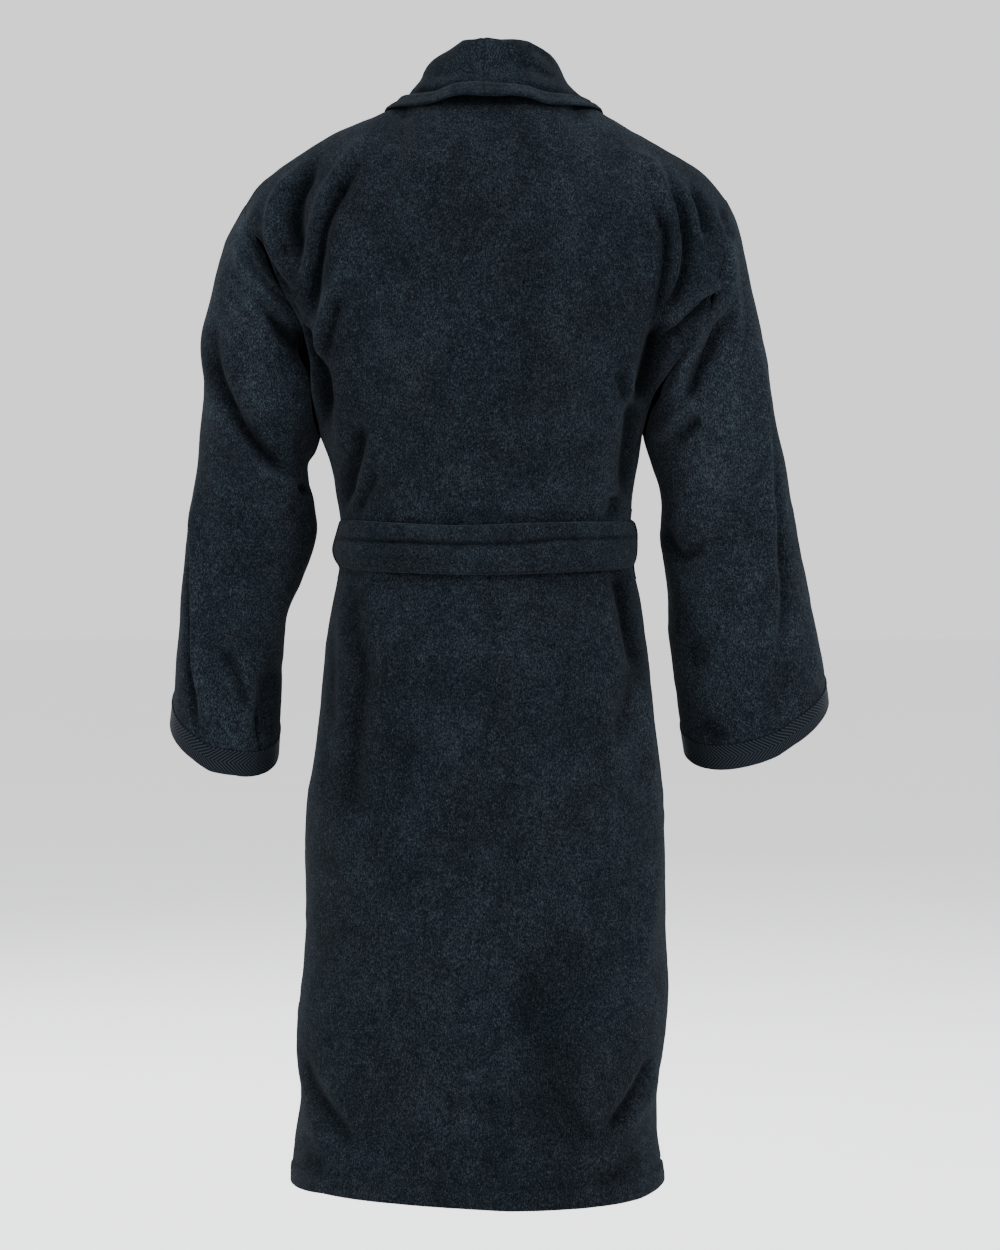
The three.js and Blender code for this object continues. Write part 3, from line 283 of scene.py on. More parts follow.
# ------------------------------------------------------------------ folds seen from behind
# (points in the frame, width in px on each side, height in mm: + ridge, - valley)
FOLDS = [
    # left shoulder and back edge
    ([(361, 134), (342, 165), (323, 194), (314, 225), (310, 246), (307, 272), (304, 291)], 6, 6, 7.5),
    ([(364, 146), (347, 177), (333, 201), (323, 225), (320, 249), (317, 272), (316, 299), (316, 320)], 6, 6, -9.5),
    ([(302, 160), (290, 175), (278, 191), (272, 208), (270, 225), (272, 244), (278, 260), (285, 277)], 5.5, 5.5, 7.5),
    ([(319, 153), (307, 170), (298, 189), (295, 208), (295, 225), (298, 244), (302, 263)], 8, 8, -11),
    ([(285, 234), (292, 253), (297, 272)], 4, 4, 3),
    ([(284, 243), (286, 254)], 3.5, 3.5, -5),
    ([(261, 201), (249, 222), (248, 234)], 8, 8, 4.5),
    ([(259, 225), (257, 239), (261, 253), (273, 272), (285, 287), (295, 301)], 6, 6, -7),
    ([(243.5, 241), (249.5, 258), (261, 277), (278, 294), (295, 308), (302, 320)], 3.2, 3.2, -3.5),
    ([(237.6, 241), (241, 260), (247, 275), (261, 291), (273, 303), (292, 318)], 6, 6, 6),
    ([(241, 282), (252, 308), (261, 320), (278, 339)], 7, 7, 4),
    ([(259, 308), (273, 322), (287.6, 337), (297, 348.6), (307, 358), (314, 368)], 7, 7, -8),
    ([(295, 322), (304, 341), (311, 358), (320, 377), (323, 406), (322, 430)], 7, 8, -13),
    ([(347, 256), (338, 282), (328, 301), (323, 322), (319, 339), (316, 358), (320, 372)], 6.5, 6.5, 7),
    ([(342, 296), (333, 320), (328, 341), (324.5, 360)], 6, 6, -5),
    # left sleeve
    ([(219, 318), (214, 358), (218.6, 382), (230.5, 406), (245, 432), (261, 453), (278, 468), (292, 472)], 7.5, 7.5, -10),
    ([(211, 401), (226, 427), (247, 453), (266, 472), (285, 491)], 11, 11, 6),
    ([(300, 491), (307, 487)], 5, 5, -6),
    ([(240, 300), (246, 350), (256, 392), (268, 424)], 20, 20, 5),
    ([(195, 480), (194, 540), (196, 600), (197, 650), (203, 690), (212, 740)], 4.5, 6.5, 7),
    ([(190, 520), (190, 580), (191, 640), (194, 690), (202, 740)], 3.5, 3.5, -6),
    ([(222, 650), (236, 680), (250, 712)], 6, 6, -5),
    ([(214, 640), (224, 672), (240, 700)], 8, 8, 2.5),
    ([(272, 664), (266, 700), (264, 740)], 9, 9, -4.5),
    ([(281, 505), (300, 520), (296, 560), (278, 592)], 14, 14, -2.5),
    # right shoulder and back edge
    ([(622, 140), (637, 152), (650, 162), (662, 180), (672, 202), (676, 227), (676, 252), (672, 275), (667, 295), (662, 312)], 6, 6, 7.5),
    ([(652, 197), (662, 217), (667, 235), (667, 260), (665, 280), (660, 302), (657, 320)], 5.5, 5.5, -8.5),
    ([(662, 167), (672, 187), (680, 205), (684, 225), (686, 245), (685, 267), (680, 285), (672, 300), (665, 315)], 5.5, 5.5, -9.5),
    ([(682, 182), (690, 202), (696, 225), (697, 245)], 6, 6, 6),
    ([(690, 182), (700, 202), (704, 220), (705, 237)], 5.5, 5.5, -6),
    ([(721, 202), (727, 220), (731, 240)], 3.5, 3.5, -3),
    ([(722, 227), (730, 250), (732, 275), (734, 295), (735, 320), (734, 365)], 5.5, 5.5, 4.5),
    ([(722, 285), (702, 295), (687, 310), (675, 322), (665, 332)], 6, 6, 8),
    ([(720, 291), (707, 300), (695, 310), (682, 322), (672, 332), (662, 350)], 4.5, 4.5, -8.5),
    ([(730, 295), (715, 315), (697, 340), (685, 365), (675, 390), (665, 407)], 8.5, 8.5, 7.5),
    ([(727, 302), (717, 325), (710, 345), (700, 365), (690, 390), (682, 397)], 7.5, 7.5, -8),
    ([(659, 322), (655, 345), (650, 370), (647, 392), (641, 408)], 9, 9, -14),
    ([(634, 400), (634, 430), (629, 465), (627, 505)], 8, 8, -9),
    ([(629, 362), (632, 385), (636, 397)], 5, 5, 4),
    ([(617, 370), (622, 385), (627, 402)], 5.5, 5.5, -5),
    # right sleeve
    ([(700, 405), (682, 415), (667, 427), (657, 442)], 8.5, 8.5, 7.5),
    ([(700, 419), (687, 429), (672, 444)], 6.5, 6.5, -5.5),
    ([(756, 360), (762, 382), (765, 407), (765, 432), (766, 457), (767, 490), (771, 520), (770, 557), (772, 600), (765, 660), (755, 715)], 5, 5, 6),
    ([(765, 390), (772, 420), (775, 440), (778, 500), (780, 560), (780, 610), (773, 670)], 4.5, 4.5, -3.5),
    ([(665, 525), (671, 545), (682, 556), (697, 552), (710, 532)], 7, 7, -5.5),
    ([(690, 640), (702, 668)], 9, 9, -3.5),
    ([(690, 500), (700, 560), (706, 610)], 16, 16, 3),
    ([(820, 650), (810, 680), (797, 700)], 6, 6, 2.5),
    ([(783, 660), (779, 690), (767, 712)], 8, 8, -2.5),
    ([(702, 722), (714, 736), (726, 738)], 8, 8, -3.5),
    ([(259, 706), (259.5, 735), (261, 752), (262, 778)], 1.8, 1.8, -5),
    # waist and lower back
    ([(365, 422), (357, 453), (350, 482), (346, 510)], 6.5, 6.5, -7),
    ([(368, 453), (357, 491), (352, 510)], 5, 5, 3),
    ([(380, 470), (366, 494), (357, 515)], 6, 6, -4.5),
    ([(400, 440), (384, 466), (372, 488)], 8, 8, 2),
    ([(340, 420), (338, 453)], 5, 5, 2.5),
    ([(615, 495), (612, 520)], 7, 7, -5.5),
    ([(596, 450), (604, 486), (606, 512)], 8, 8, 2),
    ([(430, 512), (470, 506), (520, 510), (570, 506)], 6, 6, 1.4),
    # skirt
    ([(616, 566), (624, 600), (632, 640), (639, 676)], 8, 8, -9),
    ([(634, 664), (630, 690), (621, 720), (617, 745)], 7, 7, -3.5),
    ([(646, 684), (646, 720), (650, 760), (654, 800)], 6, 6, 4),
    ([(606, 690), (608, 730), (612, 770)], 7, 7, 2.5),
    ([(352, 580), (354, 620), (362, 670), (358, 720), (352, 790), (354, 820)], 10, 10, -4.5),
    ([(332, 600), (330, 650), (330, 700), (334, 730)], 6, 6, -3),
    ([(324, 700), (318, 760), (312, 800)], 7, 7, 2),
    ([(404, 740), (404, 780), (398, 800)], 8, 8, -2),
    ([(656, 840), (654, 900), (646, 950), (636, 990)], 10, 10, 3.5),
    ([(532, 950), (530, 985), (522, 1040)], 12, 12, -2.5),
    ([(434, 975), (420, 1060), (424, 1108)], 12, 12, -2.5),
    ([(655, 1052), (640, 1082), (624, 1108), (607, 1130)], 5.5, 5.5, -6),
    ([(663, 1062), (650, 1092), (636, 1112), (622, 1128)], 7, 7, 5),
    ([(574, 1092), (588, 1114), (600, 1124)], 7, 7, 3),
    ([(566, 1098), (580, 1122), (598, 1140)], 7, 7, -2.5),
    ([(301, 1046), (309, 1080), (322, 1104), (342, 1132), (352, 1150)], 7, 7, -5),
    ([(297, 1062), (300, 1090), (312, 1126), (330, 1160)], 7, 7, 3.5),
    ([(296, 1140), (310, 1160), (330, 1172)], 9, 9, -3),
    ([(640, 1150), (620, 1170), (590, 1180)], 10, 10, -3),
    ([(480, 1110), (470, 1150), (478, 1180)], 12, 12, 2.5),
    ([(445, 1096), (452, 1112)], 6, 6, -3),
    ([(420, 900), (424, 1000), (418, 1100), (420, 1190)], 26, 26, 2),
    ([(560, 900), (556, 1000), (556, 1100), (552, 1190)], 24, 24, -2),
]


def seen_relief(P, N, strength=1.0):
    """displacement in mm at points that face the camera"""
    Pm = P / 1000.0
    px, py = project(Pm)
    to_cam = np.array([cam_x, CAM_Y, CAM_Z]) - Pm
    to_cam /= np.linalg.norm(to_cam, axis=-1, keepdims=True)
    face = smooth(((N * to_cam).sum(-1) + 0.05) / 0.45)
    out = np.zeros(px.shape)
    for pts, wl, wr, h in FOLDS:
        c = along(pts, np.linspace(0, 1, 6 * len(pts)))
        lo, hi = c.min(0) - 4 * max(wl, wr), c.max(0) + 4 * max(wl, wr)
        sel = (px > lo[0]) & (px < hi[0]) & (py > lo[1]) & (py < hi[1]) & (face > 0)
        if not sel.any():
            continue
        x, y = px[sel], py[sel]
        best = np.full(x.shape, 1e9)
        where = np.zeros(x.shape)
        side = np.zeros(x.shape)
        n = len(c) - 1
        for i in range(n):
            a, b = c[i], c[i + 1]
            d = b - a
            L = d @ d
            t = np.clip(((x - a[0]) * d[0] + (y - a[1]) * d[1]) / L, 0, 1)
            ex, ey = x - a[0] - t * d[0], y - a[1] - t * d[1]
            r = np.hypot(ex, ey)
            hit = r < best
            best = np.where(hit, r, best)
            where = np.where(hit, (i + t) / n, where)
            side = np.where(hit, d[0] * ey - d[1] * ex, side)
        w = np.where(side < 0, wr, wl)
        taper = smooth(where / 0.22) * smooth((1 - where) / 0.25)
        taper = 0.12 + 0.88 * taper
        out[sel] += h * np.exp(-(best / w) ** 2) * taper
    return out * face * strength


# ------------------------------------------------------------------ mesh makers
def settle(V):
    """the drape's small departures from the plain form, one field over height and width, so that seams stay shut"""
    V = np.array(V, float)
    c = COL0 - V[:, 0] / 1.0667
    r = ROW0 - V[:, 2] / 1.0667
    at = lambda t, x, y: np.interp(t, x, y)
    # shoulder line and collar
    low = at(c, [190, 230, 270, 310, 340, 380, 410, 430, 470, 500, 530, 550, 590, 605, 630, 650, 670, 690, 730],
             [0, 3, 4, 3.5, 2, 2.5, 3, 2, 2, 3.5, 0, 2, 1.5, 4.5, 6, 5, 3, 1, 0])
    dz = -low * smooth((330 - r) / 150)
    dx = -at(r, [40, 50, 56, 60, 65, 70, 76, 90, 110], [15, 16, 14, 11, 7, 4, 2, 1, 0]) * smooth((472 - c) / 42)
    dx += at(r, [40, 50, 60, 80, 90, 110], [1, 3, 5, 3, 1, 0]) * smooth((c - 500) / 45)
    # sleeve edges
    dz += at(c, [670, 690, 760, 775, 790, 810, 830], [0, 3, 3, 4, 8, 10, 12]) * smooth((r - 640) / 90)
    dz += at(c, [180, 195, 212, 235, 280], [2, 2, -1, 2.5, 2.5]) * smooth((r - 660) / 80) * (c < 285) * (r < 800)
    dx += 3.2 * smooth((240 - c) / 50) * smooth((r - 540) / 70)
    dx -= 3.0 * smooth((c - 745) / 55) * smooth((r - 540) / 70)
    # hem line
    body = (c > 284) & (c < 668)
    dz -= at(c, [291, 325, 400, 450, 510, 600, 640, 662], [0, -3.5, -1.5, 1, 4.5, 4, 3, 0]) * smooth((r - 1010) / 160) * body
    V[:, 0] += dx * 1.0667
    V[:, 2] += dz * 1.0667
    return V


def to_object(name, V, F, uv=None, smooth_shade=True):
    V = settle(V)
    me = bpy.data.meshes.new(name)
    me.from_pydata((np.asarray(V) / 1000.0).tolist(), [], [tuple(int(q) for q in f) for f in F])
    me.validate(clean_customdata=False)
    if uv is not None:
        lay = me.uv_layers.new(name="cloth")
        idx = np.empty(len(me.loops), np.int32)
        me.loops.foreach_get("vertex_index", idx)
        lay.data.foreach_set("uv", (np.asarray(uv)[idx]).astype(np.float32).ravel())
    if smooth_shade:
        me.polygons.foreach_set("use_smooth", np.ones(len(me.polygons), bool))
    me.update()
    ob = bpy.data.objects.new(name, me)
    bpy.context.scene.collection.objects.link(ob)
    return ob


def arclen(P):
    """uv in metres from grid lengths"""
    du = np.linalg.norm(np.diff(P, axis=0), axis=-1)
    dv = np.linalg.norm(np.diff(P, axis=1), axis=-1)
    u = np.concatenate([np.zeros((1, P.shape[1])), np.cumsum(du, 0)])
    v = np.concatenate([np.zeros((P.shape[0], 1)), np.cumsum(dv, 1)], 1)
    u = u - u.mean(0, keepdims=True)
    return np.stack([u, v], -1) / 1000.0


def sheet_mesh(name, P, N, t, wrap=False, bulge=0.45, t_out=0.0):
    """closed cloth: outer face P, inner face t below, rims rounded"""
    nu, nv = P.shape[:2]
    out, inn = P + N * t_out, P - N * t
    mid = (out + inn) / 2
    V = [out.reshape(-1, 3), inn.reshape(-1, 3)]
    UV = arclen(P).reshape(-1, 2)
    uvs = [UV, UV]
    F = []
    idx = np.arange(nu * nv).reshape(nu, nv)
    i2 = idx + nu * nv
    iu = np.arange(nu if wrap else nu - 1)
    a, b = idx[iu], idx[(iu + 1) % nu]
    c, d = i2[iu], i2[(iu + 1) % nu]
    faces = [np.stack([a[:, :-1], b[:, :-1], b[:, 1:], a[:, 1:]], -1).reshape(-1, 4),
             np.stack([c[:, :-1], c[:, 1:], d[:, 1:], d[:, :-1]], -1).reshape(-1, 4)]
    base = 2 * nu * nv

    def rim(o_idx, i_idx, m_pts, closed, flip):
        nonlocal base
        k = len(o_idx)
        m_idx = np.arange(k) + base
        base += k
        V.append(m_pts)
        uvs.append(UV[o_idx])
        j = np.arange(k if closed else k - 1)
        j1 = (j + 1) % k
        q1 = np.stack([o_idx[j], o_idx[j1], m_idx[j1], m_idx[j]], -1)
        q2 = np.stack([m_idx[j], m_idx[j1], i_idx[j1], i_idx[j]], -1)
        q = np.concatenate([q1, q2])
        faces.append(q[:, ::-1] if flip else q)
        return m_idx
    ext = t * bulge

    def unit(v):
        return v / np.maximum(np.linalg.norm(v, axis=-1, keepdims=True), 1e-9)
    m_lo = rim(idx[:, 0], i2[:, 0], mid[:, 0] + unit(P[:, 0] - P[:, 1]) * ext, wrap, True)
    m_hi = rim(idx[:, -1], i2[:, -1], mid[:, -1] + unit(P[:, -1] - P[:, -2]) * ext, wrap, False)
    if not wrap:
        m_l = rim(idx[0], i2[0], mid[0] + unit(P[0] - P[1]) * ext, False, False)
        m_r = rim(idx[-1], i2[-1], mid[-1] + unit(P[-1] - P[-2]) * ext, False, True)
        # close the four corners
        for (o, i, m1, m2) in ((idx[0, 0], i2[0, 0], m_lo[0], m_l[0]), (idx[-1, 0], i2[-1, 0], m_lo[-1], m_r[0]),
                               (idx[0, -1], i2[0, -1], m_hi[0], m_l[-1]), (idx[-1, -1], i2[-1, -1], m_hi[-1], m_r[-1])):
            F.append((o, m1, m2))
            F.append((i, m2, m1))
    allf = [tuple(f) for arr in faces for f in arr.tolist()] + F
    ob = to_object(name, np.concatenate(V), allf, np.concatenate(uvs))
    fix_normals(ob)
    return ob


def fix_normals(ob):
    import bmesh
    bm = bmesh.new()
    bm.from_mesh(ob.data)
    bmesh.ops.recalc_face_normals(bm, faces=bm.faces)
    bm.to_mesh(ob.data)
    bm.free()


def tube_mesh(name, rings, closed_path=False, cap=True):
    """skin over rings (R, m, 3)"""
    rings = np.asarray(rings, float)
    R, m = rings.shape[:2]
    idx = np.arange(R * m).reshape(R, m)
    rr = np.arange(R if closed_path else R - 1)
    a, b = idx[rr], idx[(rr + 1) % R]
    F = np.stack([a, b, np.roll(b, -1, 1), np.roll(a, -1, 1)], -1).reshape(-1, 4)
    F = [tuple(f) for f in F.tolist()]
    if cap and not closed_path:
        F.append(tuple(idx[0].tolist()))
        F.append(tuple(idx[-1][::-1].tolist()))
    s = np.concatenate([[0], np.cumsum(np.linalg.norm(np.diff(rings.mean(1), axis=0), axis=-1))]) / 1000
    w = np.concatenate([[0], np.cumsum(np.linalg.norm(np.diff(rings[R // 2], axis=0), axis=-1))]) / 1000
    uv = np.stack(np.broadcast_arrays(w[None, :], s[:, None]), -1).reshape(-1, 2)
    ob = to_object(name, rings.reshape(-1, 3), F, uv)
    fix_normals(ob)
    return ob


# ------------------------------------------------------------------ materials
def srgb(r, g, b):
    def f(c):
        c /= 255
        return c / 12.92 if c <= 0.04045 else ((c + 0.055) / 1.055) ** 2.4
    return (f(r), f(g), f(b), 1)


class Net:
    def __init__(self, name):
        self.mat = bpy.data.materials.new(name)
        self.mat.use_nodes = True
        self.t = self.mat.node_tree
        self.t.nodes.clear()
        self.out = self.t.nodes.new("ShaderNodeOutputMaterial")
        self.b = self.t.nodes.new("ShaderNodeBsdfPrincipled")
        self.t.links.new(self.b.outputs[0], self.out.inputs[0])

    def n(self, kind, **kw):
        nd = self.t.nodes.new(kind)
        for k, v in kw.items():
            setattr(nd, k, v)
        return nd

    def link(self, a, b):
        self.t.links.new(a, b)

    def math(self, op, a, b=None, c=None):
        nd = self.n("ShaderNodeMath", operation=op)
        for i, v in enumerate((a, b, c)):
            if v is None:
                continue
            if isinstance(v, (int, float)):
                nd.inputs[i].default_value = v
            else:
                self.link(v, nd.inputs[i])
        return nd.outputs[0]

    def noise(self, vec, scale, detail=2.0, rough=0.5):
        nd = self.n("ShaderNodeTexNoise")
        self.link(vec, nd.inputs["Vector"])
        nd.inputs["Scale"].default_value = scale
        nd.inputs["Detail"].default_value = detail
        nd.inputs["Roughness"].default_value = rough
        return nd.outputs["Fac"]

    def mapping(self, vec, scale=(1, 1, 1)):
        nd = self.n("ShaderNodeMapping")
        self.link(vec, nd.inputs["Vector"])
        nd.inputs["Scale"].default_value = scale
        return nd.outputs["Vector"]

    def ramp(self, fac, stops):
        nd = self.n("ShaderNodeValToRGB")
        self.link(fac, nd.inputs["Fac"])
        el = nd.color_ramp.elements
        el[0].position, el[0].color = stops[0]
        el[1].position, el[1].color = stops[-1]
        for p, c in stops[1:-1]:
            e = el.new(p)
            e.color = c
        return nd.outputs["Color"]

    def mix(self, fac, a, b, mode="MIX"):
        nd = self.n("ShaderNodeMix", data_type="RGBA", blend_type=mode)
        for s, v in ((0, fac), (6, a), (7, b)):
            if isinstance(v, (int, float)):
                nd.inputs[s].default_value = v
            elif isinstance(v, tuple):
                nd.inputs[s].default_value = v
            else:
                self.link(v, nd.inputs[s])
        return nd.outputs[2]


def velour(name, gain=1.0, grain=1.0):
    m = Net(name)
    co = m.n("ShaderNodeTexCoord").outputs["Object"]
    # pile direction: short upright strokes, a little longer than wide
    stroke = m.noise(m.mapping(co, (1.0, 1.0, 0.55)), 760.0 * grain, 2.0, 0.65)
    fine = m.noise(m.mapping(co, (1.0, 1.0, 0.8)), 1500.0 * grain, 1.0, 0.6)
    clump = m.noise(co, 120.0, 3.0, 0.6)
    brush = m.noise(m.mapping(co, (1.0, 1.0, 0.8)), 26.0, 4.0, 0.62)
    patch_ = m.noise(m.mapping(co, (1.0, 1.0, 0.7)), 7.5, 3.0, 0.55)
    k = lambda c: tuple(v * gain for v in c[:3]) + (1,)
    dark, mid, light = k(srgb(4, 5, 7)), k(srgb(16, 19, 22.5)), k(srgb(45, 51, 56))
    tone = m.math("MULTIPLY_ADD", stroke, 0.62, m.math("MULTIPLY_ADD", fine, 0.38, 0.0))
    tone = m.math("MULTIPLY_ADD", m.math("SUBTRACT", clump, 0.5), 0.14, tone)
    tone = m.math("MULTIPLY_ADD", m.math("SUBTRACT", brush, 0.5), 0.14, tone)
    tone = m.math("MULTIPLY_ADD", m.math("SUBTRACT", patch_, 0.5), 0.12, tone)
    col = m.ramp(tone, [(0.30, dark), (0.5, mid), (0.72, light)])
    # slow drift between a bluer and a greyer navy
    drift = m.ramp(m.noise(co, 11.0, 2.0, 0.5), [(0.38, (1.02, 0.985, 1.0, 1)), (0.62, (0.96, 1.01, 1.02, 1))])
    col = m.mix(1.0, col, drift, "MULTIPLY")
    # painted shade in the fold valleys and painted highlight on the ridges: the colour is scaled by 1 plus the
    # per-vertex fold value
    painted_fold_shade = m.n("ShaderNodeAttribute")
    painted_fold_shade.attribute_name = "painted_fold_shade"
    fold_shade_gain = m.math("ADD", painted_fold_shade.outputs["Fac"], 1.0)
    comb = m.n("ShaderNodeCombineXYZ")
    for q in range(3):
        m.link(fold_shade_gain, comb.inputs[q])
    col = m.mix(1.0, col, comb.outputs[0], "MULTIPLY")
    m.link(col, m.b.inputs["Base Color"])
    m.b.inputs["Roughness"].default_value = 0.96
    m.b.inputs["Specular IOR Level"].default_value = 0.0
    m.b.inputs["Sheen Weight"].default_value = 0.035
    m.b.inputs["Sheen Roughness"].default_value = 0.45
    m.b.inputs["Sheen Tint"].default_value = (0.66, 0.71, 0.78, 1)
    h = m.math("MULTIPLY_ADD", stroke, 0.7, m.math("MULTIPLY", fine, 0.3))
    h2 = m.math("MULTIPLY_ADD", clump, 0.5, h)
    bump = m.n("ShaderNodeBump")
    bump.inputs["Strength"].default_value = 0.55
    bump.inputs["Distance"].default_value = 0.0016
    m.link(h2, bump.inputs["Height"])
    m.link(bump.outputs["Normal"], m.b.inputs["Normal"])
    return m.mat


def herringbone(name, width):
    """two rows of chevrons over a tape `width` metres wide; uv x runs across it, y along it"""
    m = Net(name)
    uv = m.n("ShaderNodeUVMap", uv_map="cloth").outputs["UV"]
    sep = m.n("ShaderNodeSeparateXYZ")
    m.link(uv, sep.inputs[0])
    a, s = sep.outputs[0], sep.outputs[1]
    fold = m.math("PINGPONG", m.math("DIVIDE", a, width / 2.0), 1.0)        # 0..1..0 across
    lean = m.math("MULTIPLY", fold, width / 2.0 * 1.15)
    ph = m.math("FRACT", m.math("DIVIDE", m.math("ADD", s, lean), 0.0042))
    rib = m.math("PINGPONG", ph, 0.5)
    rib = m.math("MULTIPLY", rib, 2.0)
    thread = m.noise(m.mapping(uv, (1, 1, 1)), 2600.0, 2.0, 0.5)
    tone = m.math("MULTIPLY_ADD", rib, 0.7, m.math("MULTIPLY", thread, 0.3))
    col = m.ramp(tone, [(0.25, srgb(5, 7, 9)), (0.5, srgb(14, 17, 21)), (0.8, srgb(33, 38, 44))])
    m.link(col, m.b.inputs["Base Color"])
    m.b.inputs["Roughness"].default_value = 0.78
    m.b.inputs["Specular IOR Level"].default_value = 0.05
    m.b.inputs["Sheen Weight"].default_value = 0.03
    m.b.inputs["Sheen Roughness"].default_value = 0.5
    m.b.inputs["Sheen Tint"].default_value = (0.6, 0.68, 0.78, 1)
    bump = m.n("ShaderNodeBump")
    bump.inputs["Strength"].default_value = 0.6
    bump.inputs["Distance"].default_value = 0.0007
    m.link(tone, bump.inputs["Height"])
    m.link(bump.outputs["Normal"], m.b.inputs["Normal"])
    return m.mat


def plain_thread(name):
    m = Net(name)
    co = m.n("ShaderNodeTexCoord").outputs["Object"]
    f = m.noise(co, 900.0, 2.0, 0.5)
    m.link(m.ramp(f, [(0.3, srgb(20, 25, 31)), (0.7, srgb(44, 52, 61))]), m.b.inputs["Base Color"])
    m.b.inputs["Roughness"].default_value = 0.7
    m.b.inputs["Sheen Weight"].default_value = 0.1
    return m.mat


VELOUR = velour("velour_pile")
SLEEVE_MAT = velour("velour_sleeve_painted_lighter", 1.2)      # a copy painted 1.2 times lighter: painted light, standing in for the sleeves catching more light
COLLAR_MAT = velour("velour_collar", 0.92)
BELT_MAT = velour("velour_belt", 0.97, 1.1)
TAPE_MAT = herringbone("herringbone_tape", TAPE_W / 1000)
NARROW_TAPE = herringbone("narrow_tape", 0.010)
THREAD = plain_thread("thread")


def dress(ob, mat):
    ob.data.materials.clear()
    ob.data.materials.append(mat)


# ------------------------------------------------------------------ panels
def w_rows(step_low, step_up, extra=()):
    low = -np.linspace(1, 0, int(round((ARMPIT_Z - HEM_Z) / step_low)) + 1)
    up = np.linspace(0, 1, int(round(330 / step_up)) + 1)[1:]
    up = np.sin(up * np.pi / 2 * 0.94) / np.sin(np.pi / 2 * 0.94)
    return np.concatenate([low, up])


HEM_STITCH = 21.0


def hem_relief(P):
    """doubled cloth below the hem's stitch line"""
    above = P[..., 2] - HEM_Z
    d = 1.3 * (1 - smooth((above - HEM_STITCH + 3) / 5))
    d -= 1.9 * np.exp(-((above - HEM_STITCH) / 1.9) ** 2)
    return d


def edge_roll(P, cols=(True, True), top=True, depth=2.6, width=6.0):
    """seam edges dip in"""
    out = np.zeros(P.shape[:2])
    if cols[0]:
        L = np.cumsum(np.concatenate([np.zeros((1, P.shape[1])), np.linalg.norm(np.diff(P, axis=0), axis=-1)]), 0)
        out -= depth * np.exp(-(L / width) ** 2)
    if cols[1]:
        L = np.cumsum(np.concatenate([np.zeros((1, P.shape[1])), np.linalg.norm(np.diff(P[::-1], axis=0), axis=-1)]), 0)[::-1]
        out -= depth * np.exp(-(L / width) ** 2)
    if top:
        L = np.cumsum(np.concatenate([np.zeros((P.shape[0], 1)), np.linalg.norm(np.diff(P[:, ::-1], axis=1), axis=-1)], 1), 1)[:, ::-1]
        out -= depth * np.exp(-(L / width) ** 2)
    return out


def soft_relief(P, seed, amount=1.0):
    x, z, y = P[..., 0], P[..., 2], P[..., 1]
    s = np.arctan2(y, x) * 150
    return amount * (1.5 * soft_noise(s, z, 85, seed) + 0.8 * soft_noise(s, z, 36, seed + 1) + 0.30 * soft_noise(s, z, 13, seed + 2))


def cloth_noise(P):
    """slow unevenness, the same for neighbours that meet at a seam"""
    a, z = P[..., 0] + 0.6 * P[..., 1], P[..., 2]
    return 1.1 * soft_noise(a, z, 85, 11) + 0.6 * soft_noise(a, z, 36, 12) + 0.25 * soft_noise(a, z, 13, 13)


def set_painted_fold_shade(ob, rel, n, m):
    """vertex value for painted shade that darkens the colour in fold valleys and painted highlight that lightens it on
    ridges, from the fold relief
    """
    g = np.where(rel < 0, np.exp(0.10 * rel) - 1, 0.030 * rel).reshape(-1)
    nv = len(ob.data.vertices)
    full = np.zeros(nv)
    full[: n * m] = g
    full[n * m: 2 * n * m] = g
    at = ob.data.attributes.new("painted_fold_shade", "FLOAT", "POINT")
    at.data.foreach_set("value", full.astype(np.float32))


def finish_grid(P, relief):
    """move along outward normals and give back the moved points"""
    N = outward(P)
    Q = P + N * relief[..., None]
    return Q


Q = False
NU_BACK, STEP = (110, 5.0) if Q else (176, 3.0)
u = np.linspace(0, 1, NU_BACK)[:, None]
w = w_rows(STEP, STEP * 0.9)[None, :]
P = back_point(u, w)
N = outward(P)
rel = seen_relief(P, N, 1.15)
seen = rel
rel = rel + cloth_noise(P) + hem_relief(P) + edge_roll(P, depth=lerp(1.1, 0.2, smooth((w + 0.06) / 0.1)), width=4.5)
belt_pinch = -1.5 * np.exp(-((P[..., 2] - WAIST_Z) / 30) ** 2)
P = P + N * (rel + belt_pinch)[..., None]
N = outward(P)
back = sheet_mesh("back_cloth", P, N, CLOTH)
# painted shade in the back's fold valleys and painted highlight on its ridges
set_painted_fold_shade(back, seen, P.shape[0], P.shape[1])
dress(back, VELOUR)
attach(back, "robe_body")
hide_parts("back_panel")
BACK_P = P
BACK_TOP = P[:, P.shape[1] * 2 // 3:]

# folds invented for the unseen front: (x, z) in mm at its two ends and in between
FRONT_FOLDS = [
    ([(226, -150), (200, -220), (176, -300)], 12, 7), ([(206, -140), (184, -215), (166, -300)], 10, -6),
    ([(150, -360), (120, -400), (86, -428)], 12, -4), ([(160, -395), (138, -420), (118, -436)], 10, 4),
    ([(-232, -150), (-204, -220), (-178, -300)], 12, 7), ([(-208, -140), (-188, -215), (-168, -300)], 10, -6),
    ([(-150, -360), (-122, -400), (-90, -428)], 12, -4),
    ([(60, -478), (84, -560), (98, -690)], 16, -4), ([(20, -480), (30, -600), (34, -760)], 20, 4),
    ([(-40, -480), (-46, -620), (-50, -800)], 18, -4), ([(130, -800), (138, -950), (140, -1120)], 26, 5),
    ([(60, -850), (64, -980), (66, -1125)], 24, -5), ([(-140, -760), (-146, -900), (-150, -1110)], 22, 5),
    ([(-20, -880), (-16, -1000), (-14, -1125)], 22, 4),
]


